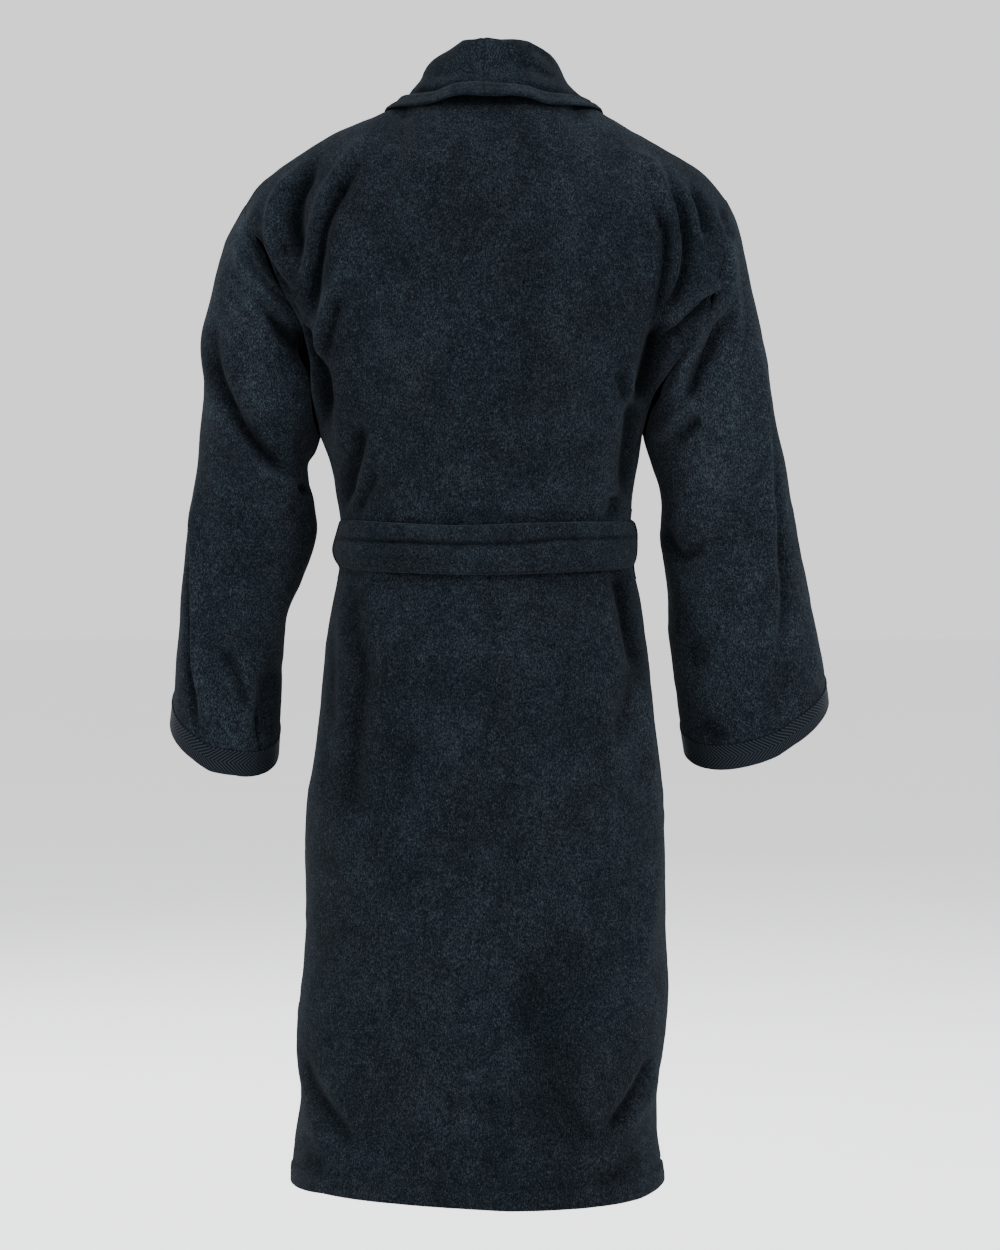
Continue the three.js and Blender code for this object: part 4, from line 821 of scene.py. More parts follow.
def front_relief(P, N):
    x, z = P[..., 0], P[..., 2]
    face = smooth((-N[..., 1] + 0.05) / 0.45)
    out = np.zeros(x.shape)
    for pts, wd, h in FRONT_FOLDS:
        c = along(pts, np.linspace(0, 1, 20))
        best, where = np.full(x.shape, 1e9), np.zeros(x.shape)
        for i in range(len(c) - 1):
            a, d = c[i], c[i + 1] - c[i]
            t = np.clip(((x - a[0]) * d[0] + (z - a[1]) * d[1]) / (d @ d), 0, 1)
            r = np.hypot(x - a[0] - t * d[0], z - a[1] - t * d[1])
            hit = r < best
            best, where = np.where(hit, r, best), np.where(hit, (i + t) / (len(c) - 1), where)
        out += h * np.exp(-(best / wd) ** 2) * smooth(where / 0.3) * smooth((1 - where) / 0.3)
    return out * face


def front_piece(name, sign, seed, nodes):
    nu = 84 if Q else 130
    u = np.linspace(0, 1, nu)[:, None]
    w = w_rows(STEP * 1.25, STEP)[None, :]
    P = front_point(u, w, sign)
    N = outward(P)
    rel = hem_relief(P) + edge_roll(P, (True, False), True)
    # folds and soft undulation fade where panels lie on each other and under the collar
    lay = smooth((np.abs(P[..., 0] - edge_x(P[..., 2], sign)) - 10) / 60)
    fold = front_relief(P, N) * (1.0 if sign > 0 else 0.0 + 1.0 * (P[..., 0] < edge_x(P[..., 2], 1) - 50))
    rel = rel + fold * lay + soft_relief(P, seed, 0.55) * lay
    belt_p = -1.0 * np.exp(-((P[..., 2] - WAIST_Z) / 30) ** 2)
    if sign < 0:
        rel = rel - under_step(P)
    # stitched facing along the skirt's front edge
    d_edge = np.cumsum(np.concatenate([np.zeros((1, P.shape[1])), np.linalg.norm(np.diff(P[::-1], axis=0), axis=-1)]), 0)[::-1]
    skirt = 1 - smooth((P[..., 2] - WAIST_Z + 5) / 20)
    rel = rel + skirt * (1.0 * (1 - smooth((d_edge - 22) / 5)) - 1.6 * np.exp(-((d_edge - 25) / 1.9) ** 2))
    P = P + N * (rel + belt_p)[..., None]
    N = outward(P)
    ob = sheet_mesh(name, P, N, CLOTH)
    dress(ob, VELOUR)
    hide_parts(*nodes)
    return ob, P, N


front_l, FLP, FLN = front_piece("front_left_cloth", 1, 31, ("front_panel_left", "front_flap_left"))
front_r, FRP, FRN = front_piece("front_right_cloth", -1, 47, ("front_panel_right",))
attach(front_r, "robe_body")
# a line between these two points across the free lower corner (worked out here, not used)
A_, B_ = np.array([-87.0, -762.0]), np.array([14.0, -1153.0])
d_ = (B_ - A_) / np.linalg.norm(B_ - A_)
n_ = np.array([d_[1], -d_[0]])
n_ = n_ if n_[0] < 0 else -n_
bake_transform(front_l)


# ------------------------------------------------------------------ sleeves
def sleeve_points(rows, arm_b, arm_f, ts, n):
    ph = 2 * np.pi * np.arange(n) / n
    c, s, e = np.cos(ph), np.sin(ph), 2 / 2.15
    cc, ss = np.sign(c) * np.abs(c) ** e, np.sign(s) * np.abs(s) ** e
    r0 = np.array(rows[0], float)
    f = np.where(ph <= np.pi, 1 - ph / np.pi, (ph - np.pi) / np.pi)
    arm = np.where((ph <= np.pi)[:, None], along(arm_b, f), along(arm_f, f))
    sgn = np.sign(r0[0])
    na = np.array([sgn * 248.0, 0, -80.0])
    na /= np.linalg.norm(na)

    def oval(r):
        ox, oz, ix, iz, d, yc = [r[..., q][..., None] for q in range(6)]
        return np.stack([(ox + ix) / 2 + (ox - ix) / 2 * cc, yc + d * ss, (oz + iz) / 2 + (oz - iz) / 2 * cc], -1)
    sec = along(rows, ts)
    R = oval(sec)                  # (T, n, 3)
    R[..., 2] -= sec[:, 4:5] * ss[None] * CUFF_TILT * smooth((ts - 0.45) / 0.5)[:, None]
    q0 = oval(r0[None])[0]
    first = smooth(1 - ts / 0.24)[:, None, None]
    shift = (0.4 * smooth(1 - ts * 3))[:, None, None]
    P = R + first * (arm - q0)[None] + shift * na
    return P.transpose(1, 0, 2)


def sleeve_piece(name, rows, arm_b, arm_f, seed, tag):
    n, T = (110, 130) if Q else (168, 210)
    ts = np.linspace(0, 1, T)
    P = sleeve_points(rows, arm_b, arm_f, ts, n)
    # the first ring reaches across the seam gap
    e = P[:, 0] - P[:, 1]
    P[:, 0] += e / np.linalg.norm(e, axis=-1, keepdims=True) * 1.0
    axis = P.mean(0)
    N = outward(P, True, axis[None])
    rel = seen_relief(P, N, 1.15)
    seen = rel
    fr = smooth((-N[..., 1] + 0.1) / 0.5)
    v = arclen(P)[..., 1] * 1000
    # crossways creases at the elbow and cuff on the unseen side
    x, z = P[..., 0], P[..., 2]
    sgn = np.sign(rows[0][0])
    diag = (z + sgn * 0.55 * x)
    rel = rel + fr * (3.2 * np.sin(diag / 21.0 + 1.0 * sgn) * np.exp(-((z + 330) / 95) ** 2) + 2.2 * np.sin(diag / 17.0) * np.exp(-((z + 455) / 60) ** 2))
    rel = rel + cloth_noise(P)
    # armhole seam dips in, and the cloth is held flat under the tape
    rel = rel - 0.3 * np.exp(-(v / 5.0) ** 2)
    end = v[:, -1:] - v
    held = smooth((end - TAPE_W - 2) / 18)
    rel = rel * (0.35 + 0.65 * held) - 1.2 * (1 - smooth((end - TAPE_W + 2) / 4))
    rel = np.where(v < 3, rel, rel)
    P = P + N * rel[..., None]
    N = outward(P, True, P.mean(0)[None])
    ob = sheet_mesh(name, P, N, CLOTH, wrap=True)
    # painted shade in the sleeve's fold valleys and painted highlight on its ridges
    set_painted_fold_shade(ob, seen, n, T)
    dress(ob, SLEEVE_MAT)
    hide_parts("sleeve_" + tag)
    # tape: follows the last stretch of the cloth
    m = 15
    L = v[:, -1:] - v
    want = np.linspace(TAPE_W, -0.6, m)
    idx = np.arange(P.shape[1])
    TP = np.empty((n, m, 3))
    TN = np.empty((n, m, 3))
    for i in range(n):
        for q in range(3):
            TP[i, :, q] = np.interp(-want, -L[i], P[i, :, q])
            TN[i, :, q] = np.interp(-want, -L[i], N[i, :, q])
    TN /= np.linalg.norm(TN, axis=-1, keepdims=True)
    # the tape: a closed ring lying 2 mm out from the cloth
    tape = sheet_mesh("cuff_tape_cloth_" + tag, TP + TN * 2.0, TN, 1.5, wrap=True, bulge=0.5)
    # uv: x across the tape, y along it
    per = np.concatenate([[0], np.cumsum(np.linalg.norm(np.diff(TP[:, m // 2], axis=0), axis=-1))]) / 1000
    uvg = np.stack(np.broadcast_arrays(np.linspace(0, TAPE_W / 1000, m)[None, :], per[:, None]), -1)
    set_grid_uv(tape, uvg, n, m)
    dress(tape, TAPE_MAT)
    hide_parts("cuff_tape_" + tag)
    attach(tape, tag + "_sleeve")
    return ob, P, N, TP, TN


def set_grid_uv(ob, uvg, n, m):
    """write grid uv (n, m, 2) on a sheet_mesh: the outer and inner faces share it, rims take the nearest"""
    me = ob.data
    flat = uvg.reshape(-1, 2)
    nv = len(me.vertices)
    full = np.zeros((nv, 2))
    full[: n * m] = flat
    full[n * m: 2 * n * m] = flat
    k = 2 * n * m
    full[k: k + n] = uvg[:, 0]
    full[k + n: k + 2 * n] = uvg[:, -1]
    if nv > k + 2 * n:
        full[k + 2 * n: k + 2 * n + m] = uvg[0]
        full[k + 2 * n + m: k + 2 * n + 2 * m] = uvg[-1]
    idx = np.empty(len(me.loops), np.int32)
    me.loops.foreach_get("vertex_index", idx)
    me.uv_layers["cloth"].data.foreach_set("uv", full[idx].astype(np.float32).ravel())


sleeve_l, SLP, SLN, TLP, TLN = sleeve_piece("sleeve_cloth_left", SLEEVE_L, ARM_L_BACK, ARM_L_FRONT, 71, "left")
sleeve_r, SRP, SRN, TRP, TRN = sleeve_piece("sleeve_cloth_right", SLEEVE_R, ARM_R_BACK, ARM_R_FRONT, 83, "right")
for ob, sgn, body, rows in ((sleeve_l, 1, "left_sleeve", SLEEVE_L), (sleeve_r, -1, "right_sleeve", SLEEVE_R)):
    na = np.array([sgn * 0.952, 0, -0.307])
    top = np.array([rows[0][0], 0, rows[0][1]], float)
    a, b = top + na * 6, top + na * 120
    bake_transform(ob)

# ------------------------------------------------------------------ collar
COLLAR_BACK = [[1, 5], [-1, 20], [3, 41], [9, 48.5], [16, 44], [23, 14], [37, 0.5], [54, -11]]
COLLAR_SIDE_L = [[-3, 4], [-12, 13], [-20, 25], [-20, 31], [-15, 31.5], [-9, 19], [6, 9.5], [25, 1.8]]
COLLAR_SIDE_R = [[-2, 4], [-9, 14], [-16, 30], [-16, 37], [-11, 37.5], [-3, 20], [10, 9.5], [33, 0.5]]


def collar_piece(sign, P, N):
    """P, N: the front panel's grid on this side; section lines as (n, 3) from seam edge to free edge"""
    nc = 64
    rx, side = (78, COLLAR_SIDE_L) if sign > 0 else (92, COLLAR_SIDE_R)
    lines, thick = [], []
    tt = np.linspace(0, 1, nc)
    K = 46
    for k in range(K + 1):
        s = k / K
        al = (math.pi / 2) * (1 - s)
        f = float(smooth(s)) * 0.45 + 0.55 * s
        q = along(NECK_BACK, 0.5 * (1 - s) if sign > 0 else 0.5 + 0.5 * s).copy()
        if k == 0:
            q[0] = sign * 0.2
        o = np.array([sign * math.cos(al) / rx, math.sin(al) / 60])
        o /= np.linalg.norm(o)
        prof = lerp(np.array(COLLAR_BACK, float), np.array(side, float), f)
        r = along(prof, tt)
        L = np.stack([q[0] + o[0] * r[:, 0], q[1] + o[1] * r[:, 0], q[2] + r[:, 1]], -1)
        E = L[-1]
        upper = BACK_TOP.reshape(-1, 3)
        near = upper[np.argmin(((upper[:, :2] - E[:2]) ** 2).sum(-1))]
        hover = float(E[2] - near[2] - 4.2)
        drop = min(max(hover, 0.0), 11.0) * float(smooth((s - 0.14) / 0.26))
        L[:, 2] -= drop * smooth((tt - 0.55) / 0.45)
        lines.append(L)
        thick.append(5.2)
    # front stations down the panel's rows
    wv = w_rows(STEP * 1.25, STEP)
    z_edge = P[-1, :, 2]
    cad_ws = [math.sin((i / 12) * math.pi / 2 * 0.94) / math.sin(math.pi / 2 * 0.94) for i in range(1, 13)]
    w_top = cad_ws[8]
    w_end = -(ARMPIT_Z - WAIST_Z) / (ARMPIT_Z - HEM_Z)
    cols = [j for j in range(len(wv)) if w_end - 1e-6 <= wv[j] <= w_top + 1e-6][::-1]
    jt, je = cols[0], cols[-1]
    tot = np.concatenate([[0], np.cumsum(np.linalg.norm(np.diff(P[-1, cols], axis=0), axis=-1))])
    tot /= tot[-1]
    for j, t in zip(cols, tot):
        row, rn = P[::-1, j], N[::-1, j]
        z = row[0, 2]
        width = lerp(62, 92, float(smooth(t / 0.35))) - 26 * float(smooth((t - 0.6) / 0.4))
        h = lerp(17, 0.6, float(smooth(t / 0.42)))
        thin = float(smooth((-386 - z) / 36))
        low = lerp(1, 0.36, thin)
        lift = 3 * (1 - float(smooth(t / 0.25))) + (2.2 * (1 - thin) if sign < 0 else 0)
        prof = np.array([[-4.4, -1.5 * low], [-5.6, 2 + 0.3 * h], [-4, (5.4 + 0.85 * h) * low], [1, (7.2 + h) * low],
                         [9, (7.2 + 0.9 * h) * low], [0.36 * width, (6.4 + 0.35 * h) * low + lift],
                         [0.7 * width, 6.2 * low + lift], [width, 6.2 * low + lift]])
        r = along(prof, tt)
        s = np.concatenate([[0], np.cumsum(np.linalg.norm(np.diff(row, axis=0), axis=-1))])
        e = row[0] - row[3]
        e /= np.linalg.norm(e)
        L = np.empty((nc, 3))
        Nn = np.empty((nc, 3))
        for q in range(3):
            L[:, q] = np.interp(r[:, 0], s, row[:, q])
            Nn[:, q] = np.interp(r[:, 0], s, rn[:, q])
        L += np.where(r[:, 0] < 0, -r[:, 0], 0)[:, None] * e
        Nn /= np.linalg.norm(Nn, axis=-1, keepdims=True)
        lines.append(L + Nn * r[:, 1][:, None])
        thick.append(lerp(5.2, 2.6, thin))
    G = np.array(lines)                        # (stations, nc, 3)
    T = np.array(thick)
    # even stations along the roll line
    roll = G[:, nc // 2]
    d = np.concatenate([[0], np.cumsum(np.linalg.norm(np.diff(roll, axis=0), axis=-1))])
    m = int(d[-1] / (5.0 if Q else 3.0))
    dd = np.linspace(0, d[-1], m)
    H = np.empty((m, nc, 3))
    for i in range(nc):
        for q in range(3):
            H[:, i, q] = np.interp(dd, d, G[:, i, q])
    T = np.interp(dd, d, T)
    # ease the joins between stations
    for _ in range(6):
        H[1:-1] = 0.25 * H[:-2] + 0.5 * H[1:-1] + 0.25 * H[2:]
    return H, T, dd


def collar_mesh(name, H, T, dd, sign):
    m, nc = H.shape[:2]
    N = normals(H)
    # outward: away from the neck at the free edge
    probe = (N[: m // 4, nc - 8] * (H[: m // 4, nc - 8] - np.array([0, 10, -20]))).sum(-1).mean()
    if probe < 0:
        N = -N
    s_across = np.concatenate([np.zeros((m, 1)), np.cumsum(np.linalg.norm(np.diff(H, axis=1), axis=-1), 1)], 1)
    free = s_across[:, -1:] - s_across
    rel = 0.9 * soft_noise(dd[:, None] * sign + 400, s_across, 46, 5) + 0.4 * soft_noise(dd[:, None] * sign + 400, s_across, 18, 6)
    # joined edge: stitch line a little in from the free edge, seam dip at centre back
    rel = rel - 1.3 * np.exp(-((free - 9) / 1.8) ** 2)
    rel = rel + 0.9 * np.exp(-(dd[:, None] / 6.5) ** 2) - 0.9 * np.exp(-(dd[:, None] / 1.3) ** 2)
    # the fall is turned under its own weight: a crease above a rolled band round the back
    rnd = 1 - smooth((dd[:, None] - 78) / 45)
    mid_ = 0.4 + 0.6 * smooth((dd[:, None] - 6) / 22)
    rel = rel + rnd * (-4.2 * mid_ * np.exp(-((free - 24) / 3.4) ** 2) + 2.4 * np.exp(-((free - 13) / 7.5) ** 2) + 1.2 * np.exp(-((free - 36) / 8.0) ** 2))
    # small slanting wrinkles on the standing part on one side
    if sign < 0:
        a = np.exp(-((dd[:, None] - 62) / 26) ** 2) * np.exp(-((free - 62) / 20) ** 2)
        rel = rel + 1.5 * a * np.sin((free + 0.45 * dd[:, None]) / 4.4)
    half = (T / 2)[:, None, None]
    taper = np.minimum(1, 0.62 + 0.38 * smooth(free / 5))[..., None]
    O = H + N * (half * taper + rel[..., None])
    I = H - N * (half * taper - 0.3 * rel[..., None])
    ob = double_face(name, O, I)
    # painted shade in the collar's crease and dips and painted highlight on its rolls, from the same relief
    set_painted_fold_shade(ob, rel * 1.5, m, nc)
    return ob


def double_face(name, O, I):
    nu, nv = O.shape[:2]
    N = O - I
    t = np.linalg.norm(N, axis=-1, keepdims=True)
    idx = np.arange(nu * nv).reshape(nu, nv)
    i2 = idx + nu * nv
    F = [np.stack([idx[:-1, :-1], idx[1:, :-1], idx[1:, 1:], idx[:-1, 1:]], -1).reshape(-1, 4),
         np.stack([i2[:-1, :-1], i2[:-1, 1:], i2[1:, 1:], i2[1:, :-1]], -1).reshape(-1, 4)]
    V = [O.reshape(-1, 3), I.reshape(-1, 3)]
    uv = arclen(O).reshape(-1, 2)
    uvs = [uv, uv]
    base = 2 * nu * nv
    loop = np.concatenate([idx[:, 0], idx[-1, 1:], idx[-2::-1, -1], idx[0, -2:0:-1]])
    k = len(loop)
    Of, If = O.reshape(-1, 3)[loop], I.reshape(-1, 3)[loop]
    # outward direction in the sheet at the border
    inner_nb = np.concatenate([idx[:, 1], idx[-2, 1:], idx[-2::-1, -2], idx[1, -2:0:-1]])
    d = Of - O.reshape(-1, 3)[inner_nb]
    d /= np.maximum(np.linalg.norm(d, axis=-1, keepdims=True), 1e-9)
    M = (Of + If) / 2 + d * np.linalg.norm(Of - If, axis=-1, keepdims=True) * 0.42
    V.append(M)
    uvs.append(uv[loop])
    j = np.arange(k)
    j1 = (j + 1) % k
    F.append(np.stack([loop[j], base + j, base + j1, loop[j1]], -1))
    F.append(np.stack([base + j, loop[j] + nu * nv, loop[j1] + nu * nv, base + j1], -1))
    ob = to_object(name, np.concatenate(V), [tuple(f) for a in F for f in a.tolist()], np.concatenate(uvs))
    fix_normals(ob)
    return ob


for sign, tag, PP, NN in ((1, "left", FLP, FLN), (-1, "right", FRP, FRN)):
    H, T, dd = collar_piece(sign, PP, NN)
    ob = collar_mesh("collar_cloth_" + tag, H, T, dd, sign)
    dress(ob, COLLAR_MAT)
    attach(ob, "robe_body")
    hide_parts("collar_" + tag)

# ------------------------------------------------------------------ belt
BELT_IN = 7.0


SIDE_Z = [-24, -18, -10, -3, 12, 22, 24]
SIDE_OFF = {1: [2.0, 6.2, 9.2, 9.6, 5.2, 2.4, 1.8], -1: [4.6, 7.0, 8.6, 9.0, 8.8, 6.2, 5.2]}


def belt_band():
    n, m = 320, 30
    k = np.arange(n) / n * 2
    side = np.where(k < 1, 1, -1)
    s = np.where(k < 1, k, 2 - k)
    base = np.where((side > 0)[:, None], ring(WAIST_Z, s, 1), ring(WAIST_Z, s, -1))
    du = np.roll(base, -1, 0) - np.roll(base, 1, 0)
    o = np.stack([du[:, 1], -du[:, 0], np.zeros(n)], -1)
    o /= np.linalg.norm(o, axis=-1, keepdims=True)
    o *= np.sign((o[:, :2] * base[:, :2]).sum(-1))[:, None]
    th = np.arctan2(base[:, 1], base[:, 0])
    v = np.linspace(-0.5, 0.5, m)
    base = base + np.stack([3 * smooth(1 - np.abs(k - 1) / 0.22), 0 * k, 0 * k], -1)
    G = np.empty((n, m, 3))
    painted_crease_shade = np.zeros((n, m))
    crease = 6.0 + 2.8 * smooth((-base[:, 0] - 38) / 45)
    lift = 1.3 * np.sin(th * 3 + 0.4)
    for j in range(m):
        z = v[j] * BELT_W
        puff = 1.6 * (1 - abs(2 * v[j]) ** 4) - 2.6 * np.exp(-((z - crease) / 2.2) ** 2) + 1.7 * np.exp(-((z + 9 - 3 * np.sin(th * 2)) / 6) ** 2)
        off = BELT_IN + BELT_T - 0.6 + puff + 0.5 * soft_noise(th * 150, np.full(n, z), 30, 9)
        # painted shade: the belt colour is darkened along the crease line
        painted_crease_shade[:, j] = -5.5 * np.exp(-((z - crease) / 2.2) ** 2)
        sd = np.abs(np.cos(th)) ** 8
        off = off * (1 - sd) + sd * np.where(np.cos(th) > 0, np.interp(z, SIDE_Z, SIDE_OFF[1]), np.interp(z, SIDE_Z, SIDE_OFF[-1]))
        G[:, j] = base + o * off[:, None]
        G[:, j, 2] = WAIST_Z + z * (1.0 + 0.02 * np.sin(th * 4)) + lift
    N = np.repeat(o[:, None], m, 1)
    ob = sheet_mesh("belt_band_cloth", G, N, BELT_T + 0.4, wrap=True, bulge=0.55)
    set_painted_fold_shade(ob, painted_crease_shade, n, m)
    return ob


belt = belt_band()
dress(belt, BELT_MAT)
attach(belt, "robe_body")
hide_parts("belt_waistband")

knot_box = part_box("belt_knot")
kc = (np.array(knot_box[0]) + np.array(knot_box[1])) / 2 * 1000
kh = (np.array(knot_box[1]) - np.array(knot_box[0])) / 2 * 1000


def knot_mesh():
    """a wrapped knot: a crossing band over a fuller core"""
    n, m = 120, 72
    th = 2 * np.pi * np.arange(n) / n
    ph = np.linspace(-np.pi / 2 + 0.02, np.pi / 2 - 0.02, m)
    TH, PH = np.meshgrid(th, ph, indexing="ij")

    def pw(v, e):
        return np.sign(v) * np.abs(v) ** e
    X = pw(np.cos(PH), 0.7) * pw(np.cos(TH), 0.75)
    Y = pw(np.cos(PH), 0.7) * pw(np.sin(TH), 0.75)
    Z = pw(np.sin(PH), 0.75)
    P = np.stack([kc[0] + kh[0] * 0.97 * X, kc[1] + kh[1] * 0.95 * Y, kc[2] + kh[2] * 0.97 * Z], -1)
    rad = np.stack([X, Y * 1.2, Z], -1)
    rad /= np.linalg.norm(rad, axis=-1, keepdims=True)
    # the band that crosses slantwise, with its two edges and gathers beside it
    q = (P[..., 0] - kc[0]) * 0.86 + (P[..., 2] - kc[2]) * 0.5
    front = smooth((kc[1] + 4 - P[..., 1]) / 10)
    band = smooth((15 - np.abs(q)) / 4)
    rel = 3.2 * band * front - 1.8 * (1 - band) * front
    rel = rel + 1.0 * np.sin(q / 2.6 + 0.8 * np.sin(P[..., 2] / 9)) * (1 - band) * front
    rel = rel + 0.7 * np.sin((P[..., 0] - kc[0]) * 0.5 - (P[..., 2] - kc[2]) * 0.86) * band * front * 0.5
    rel = rel + 0.6 * soft_noise(P[..., 0] * 1.0, P[..., 2], 9, 21)
    P = P + rad * (rel - 1.2)[..., None]
    G = P
    rings = G.transpose(1, 0, 2)
    return tube_mesh("belt_knot_cloth", rings)


knot = knot_mesh()
dress(knot, BELT_MAT)
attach(knot, "robe_body")
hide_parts("belt_knot")


def tail_piece(tag, seed):
    lo, hi = [np.array(v) * 1000 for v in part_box("belt_tail_" + tag)]
    # the CAD strip's own course, top to bottom
    top_z, low_z = hi[2], lo[2]
    m, n = 150, 22
    t = np.linspace(0, 1, m)
    lean = 12 if tag == "left" else -6
    x0 = 27.5 if tag == "left" else -19.5
    z = lerp(top_z, low_z, t)
    # front face of the strip from the skirt's own shape
    xs = np.linspace(x0, x0 + 44, 5)
    y = np.stack([np.abs(ring(z, angle_at(z, np.full_like(z, x)), -1)[..., 1]) for x in xs]).max(0) + 9
    y = np.maximum.accumulate(np.maximum(y, 128.7))
    y = y + 1.9
    across = np.linspace(-0.5, 0.5, n)
    narrow = 1 - 0.30 * (1 - smooth(t / 0.12))
    G = np.empty((n, m, 3))
    for i, a in enumerate(across):
        w_ = 44 * narrow
        G[i, :, 0] = x0 + 22 + lean * smooth(t) + a * w_
        curl = 1.5 * np.sin(t * 7 + seed) * a * 2 + 2.2 * (1 - narrow) / 0.3 * math.cos(a * 9)
        G[i, :, 1] = -(y + 0.8 + 0.5 * np.sin(t * 11 + seed) + curl - 1.0 * np.exp(-((a * 44 - 4) / 2.0) ** 2) * 0 + 0.4 * soft_noise(np.full(m, a * 44), z, 22, seed))
        G[i, :, 2] = z
    N = np.zeros_like(G)
    N[..., 1] = -1
    # stitched sides and end
    w_arr = np.abs(across)[:, None] * 44
    rel = -0.8 * np.exp(-((22 - w_arr - 5) / 1.1) ** 2) * np.ones((1, m)) - 0.8 * np.exp(-(((1 - t) * (top_z - low_z) - 8) / 1.2) ** 2)[None]
    G = G + N * (rel + 0.5)[..., None]
    ob = sheet_mesh("belt_end_cloth_" + tag, G, N, BELT_T, bulge=0.5)
    dress(ob, BELT_MAT)
    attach(ob, "belt_end_" + tag)
    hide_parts("belt_tail_" + tag)
    return ob


tail_l, tail_r = tail_piece("left", 3), tail_piece("right", 8)


def belt_loop_piece(sign, tag):
    r = lambda z: float(torso(z)[0 if sign > 0 else 1])
    line = [[r(WAIST_Z + 37) - 0.4, WAIST_Z + 37], [r(WAIST_Z + 31) - 0.6, WAIST_Z + 31], [r(WAIST_Z + 26) - 0.4, WAIST_Z + 25.6]]
    line += [[r(WAIST_Z) + float(np.interp(z, SIDE_Z, SIDE_OFF[sign])) + (0.6 if sign > 0 else -2.6), WAIST_Z + z] for z in (22, 12, 2, -5, -11, -17, -22)]
    line += [[r(WAIST_Z - 26) - 0.4, WAIST_Z - 25.8], [r(WAIST_Z - 31) - 0.6, WAIST_Z - 31], [r(WAIST_Z - 37) - 0.4, WAIST_Z - 37]]
    c = along(line, np.linspace(0, 1, 70))
    n = 11
    G = np.empty((n, len(c), 3))
    d = np.gradient(c, axis=0)
    nn = np.stack([-d[:, 1], d[:, 0]], -1)
    nn /= np.linalg.norm(nn, axis=-1, keepdims=True)
    nn *= np.sign(nn[:, :1] + 1e-6)
    for i, a in enumerate(np.linspace(-5, 5, n)):
        G[i, :, 0], G[i, :, 1], G[i, :, 2] = sign * c[:, 0], a, c[:, 1]
    N = np.repeat(np.stack([sign * nn[:, 0], np.zeros(len(c)), nn[:, 1]], -1)[None], n, 0)
    ob = sheet_mesh("belt_loop_strap_" + tag, G + N * 0.9, N, 1.7, bulge=0.5)
    L = np.concatenate([[0], np.cumsum(np.linalg.norm(np.diff(c, axis=0), axis=-1))]) / 1000
    uvg = np.stack(np.broadcast_arrays(np.linspace(0, 0.010, n)[:, None], L[None, :]), -1)
    set_grid_uv(ob, uvg, n, len(c))
    dress(ob, NARROW_TAPE)
    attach(ob, "robe_body")
    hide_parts("belt_loop_" + tag)
    return ob


loop_l, loop_r = belt_loop_piece(1, "left"), belt_loop_piece(-1, "right")


# ------------------------------------------------------------------ pockets
def pocket_pieces(sign, tag):
    z1, z0 = POCKET_TOP_Z, POCKET_TOP_Z - POCKET_H
    zr = (z0 + z1) / 2
    a_in = float(angle_at(zr, np.array(sign * (OVERLAP + 6.0))))
    dr = -1 if sign > 0 else 1
    aa = [a_in]
    LL = [0.0]
    p = ring(zr, a_in, -1)
    while LL[-1] < POCKET_W + 5 and 0.004 < aa[-1] < 0.996:
        a2 = aa[-1] + dr * 0.002
        q = ring(zr, a2, -1)
        LL.append(LL[-1] + float(np.hypot(q[0] - p[0], q[1] - p[1])))
        aa.append(a2)
        p = q

    def surf(a, b, off):
        z = lerp(z0, z1, b)
        t = np.interp(a * POCKET_W * 0.94, LL, aa)
        off = off * (1 - 0.4 * smooth((a - 0.7) / 0.3))
        q0, q1, p = ring(z, t - 0.004, -1), ring(z, t + 0.004, -1), ring(z, t, -1)
        d = q1 - q0
        n = np.stack([d[..., 1], -d[..., 0], np.zeros_like(z)], -1)
        n /= np.linalg.norm(n, axis=-1, keepdims=True)
        s = np.sign(n[..., 0] * p[..., 0] + n[..., 1] * p[..., 1])
        return p + n * (s * off)[..., None], n * s[..., None]

    def puff(a, b):
        return 15 * np.sin(np.pi * np.clip(a, 0.001, 0.999)) ** 1.1 * (1 - 0.8 * smooth((a - 0.35) / 0.5)) * (0.35 + 0.65 * b) * smooth(b / 0.3)
    nu, nv = (50, 66) if Q else (80, 104)
    a, b = np.meshgrid(np.linspace(0, 1, nu), np.linspace(0, 1, nv), indexing="ij")
    edge = np.minimum(np.minimum(a, 1 - a) * POCKET_W, b * POCKET_H)
    # rounded lower corners
    rr = 26.0
    ax, bz = np.minimum(a, 1 - a) * POCKET_W, b * POCKET_H
    a2, b2 = a.copy(), b.copy()
    inside = (ax < rr) & (bz < rr)
    lift = np.where(bz < rr, rr - np.sqrt(np.maximum(rr * rr - (rr - np.minimum(ax, rr)) ** 2, 0)), 0)
    b2 = b + lift / POCKET_H * (1 - smooth(bz / 60))
    P, N = surf(a2, b2, 4.6 + puff(a, b))
    N = outward(P)
    stitch = -1.3 * np.exp(-((edge - 5) / 1.3) ** 2) - 0.8 * (1 - smooth(edge / 3))
    P = P + N * (stitch + 0.6 * soft_noise(a * POCKET_W, b * POCKET_H, 28, 60 + sign))[..., None]
    body = sheet_mesh("pocket_cloth_" + tag, P, outward(P), 3.0)
    dress(body, VELOUR)
    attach(body, "robe_body")
    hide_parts("pocket_" + tag)
    m = 13
    a, b = np.meshgrid(np.linspace(0.008, 0.992, nu), np.linspace(1 - TAPE_W / POCKET_H, 1.002, m), indexing="ij")
    P, N = surf(a, b, 4.6 + 1.9 + puff(a, b))
    N = outward(P)
    tape = sheet_mesh("pocket_tape_cloth_" + tag, P, N, 1.5, bulge=0.5)
    uvg = np.stack([(b - (1 - TAPE_W / POCKET_H)) * POCKET_H / 1000, a * POCKET_W / 1000], -1)
    set_grid_uv(tape, uvg, nu, m)
    dress(tape, TAPE_MAT)
    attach(tape, "robe_body")
    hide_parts("pocket_tape_" + tag)
    return body, tape


pockets = {t: pocket_pieces(s, t) for s, t in ((1, "left"), (-1, "right"))}

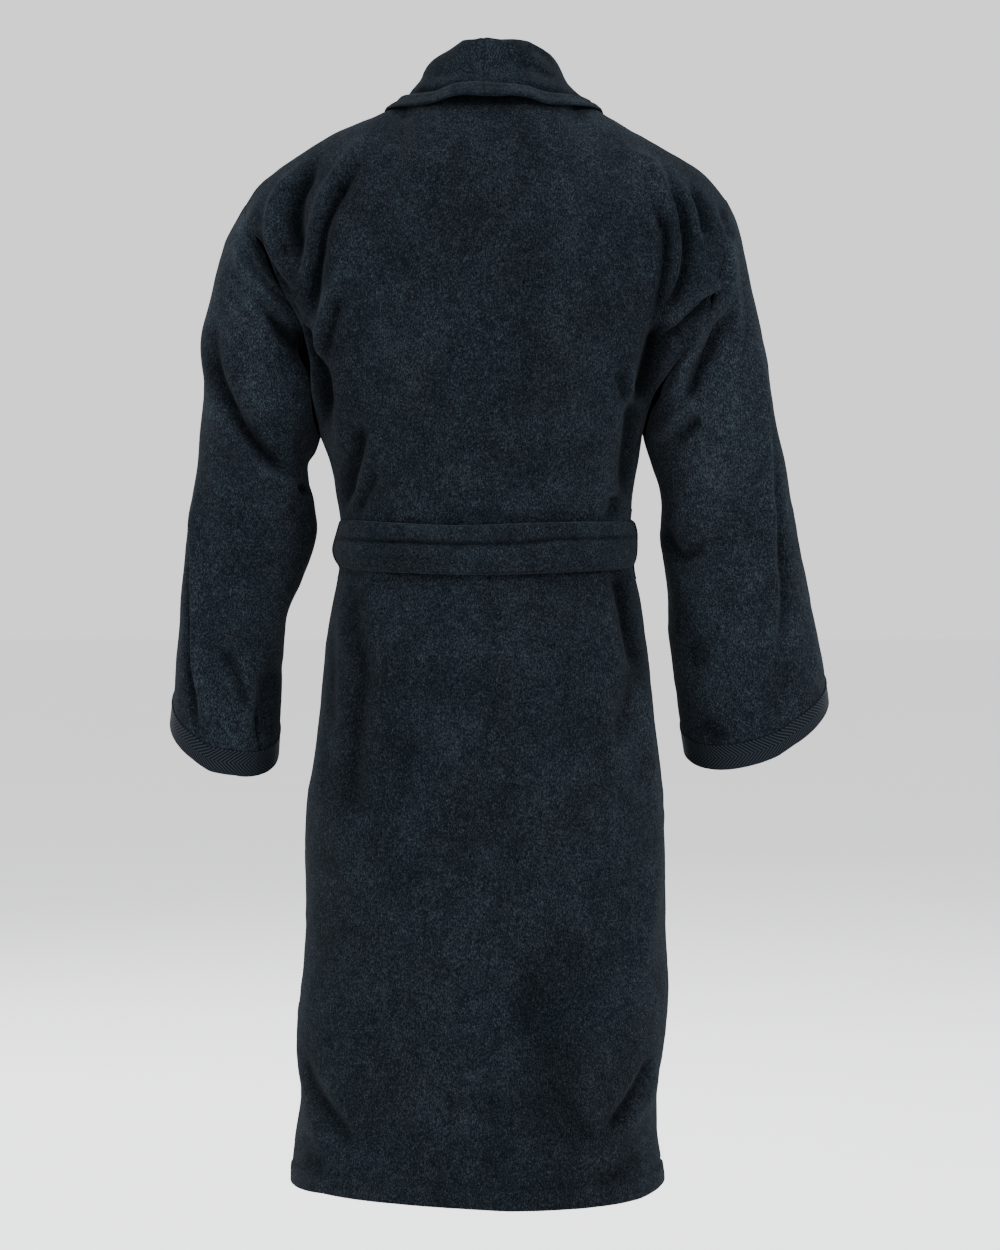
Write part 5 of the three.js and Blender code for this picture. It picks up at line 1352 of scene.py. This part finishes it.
# ------------------------------------------------------------------ inside back neck
u = np.linspace(0.36, 0.64, 90)[:, None]
w = np.linspace(0.885, 0.96, 14)[None, :]
P = back_point(u, w)
N = outward(P, about=np.array([0, 0, -60.0]))
neck = sheet_mesh("neck_tape_cloth", P - N * (CLOTH + 2.7), N, 1.3, bulge=0.5)
Ln = np.concatenate([[0], np.cumsum(np.linalg.norm(np.diff(P[:, 7], axis=0), axis=-1))]) / 1000
uvg = np.stack(np.broadcast_arrays(np.linspace(0, TAPE_W / 1000, 14)[None, :], Ln[:, None]), -1)
set_grid_uv(neck, uvg, 90, 14)
dress(neck, TAPE_MAT)
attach(neck, "robe_body")
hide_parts("neck_tape")

k = np.linspace(0, 1, 80)
ang = np.pi * k
lx, lz = -26 * np.cos(ang), -3 - 24 * np.sin(ang) ** 0.7
n = 9
G = np.empty((n, 80, 3))
d = np.gradient(np.stack([lx, lz], -1), axis=0)
nn = np.stack([-d[:, 1], d[:, 0]], -1)
nn /= np.linalg.norm(nn, axis=-1, keepdims=True)
for i, a in enumerate(np.linspace(-4, 4, n)):
    G[i, :, 0], G[i, :, 1], G[i, :, 2] = lx, 88 + a, lz
N = np.repeat(np.stack([nn[:, 0], np.zeros(80), nn[:, 1]], -1)[None], n, 0)
hang = sheet_mesh("hang_loop_strap", G + N * 0.8, N, 1.6, bulge=0.5)
Lh = np.concatenate([[0], np.cumsum(np.hypot(*np.diff(np.stack([lx, lz]), axis=1)))]) / 1000
set_grid_uv(hang, np.stack(np.broadcast_arrays(np.linspace(0, 0.010, n)[:, None], Lh[None, :]), -1), n, 80)
dress(hang, NARROW_TAPE)
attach(hang, "hanging_loop")
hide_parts("hang_loop")


# ------------------------------------------------------------------ floor, light
def pale(name, col, rough=0.9):
    m = Net(name)
    co = m.n("ShaderNodeTexCoord").outputs["Object"]
    f = m.noise(co, 3.0, 2.0, 0.5)
    m.link(m.ramp(f, [(0.3, col), (0.7, tuple(min(1, c * 1.01) for c in col[:3]) + (1,))]), m.b.inputs["Base Color"])
    m.b.inputs["Roughness"].default_value = rough
    m.b.inputs["Specular IOR Level"].default_value = 0.1
    return m.mat


fl = bpy.data.meshes.new("floor")
z_f = cad_box[0][2] - 0.38
fl.from_pydata([(-12, -14, z_f), (12, -14, z_f), (12, 8, z_f), (-12, 8, z_f)], [], [(0, 1, 2, 3)])
floor = bpy.data.objects.new("floor", fl)
bpy.context.scene.collection.objects.link(floor)
fl.materials.append(pale("floor_pale", (0.92, 0.92, 0.92, 1)))

world = bpy.context.scene.world or bpy.data.worlds.new("world")
bpy.context.scene.world = world
world.use_nodes = True
bg = world.node_tree.nodes.get("Background") or world.node_tree.nodes.new("ShaderNodeBackground")
bg.inputs[0].default_value = (1, 1, 1, 1)
bg.inputs[1].default_value = 1.3


def area(name, loc, target, size, power, color=(1, 1, 1)):
    L = bpy.data.lights.new(name, "AREA")
    L.shape = "RECTANGLE"
    L.size, L.size_y = size
    L.energy = power
    L.color = color
    o = bpy.data.objects.new(name, L)
    bpy.context.scene.collection.objects.link(o)
    o.location = loc
    v = np.array(target, float) - np.array(loc, float)
    import mathutils
    o.rotation_euler = mathutils.Vector(v).to_track_quat("-Z", "Y").to_euler()
    return o


area("key_left", (2.7, 1.9, 1.6), (0, 0, -0.35), (0.8, 1.0), 92, (0.86, 0.95, 1.0))
area("key_right", (-2.6, 2.0, 1.6), (0, 0, -0.35), (0.8, 1.0), 132, (0.84, 0.95, 1.0))
area("top", (0.2, 1.0, 2.4), (0, 0, -0.2), (1.2, 0.8), 56, (0.88, 0.96, 1.0))
area("front_fill", (1.6, -2.9, 1.3), (0, 0, -0.5), (1.2, 1.4), 150)
area("front_side", (-2.4, -2.6, 1.2), (0, 0, -0.5), (1.2, 1.4), 90)
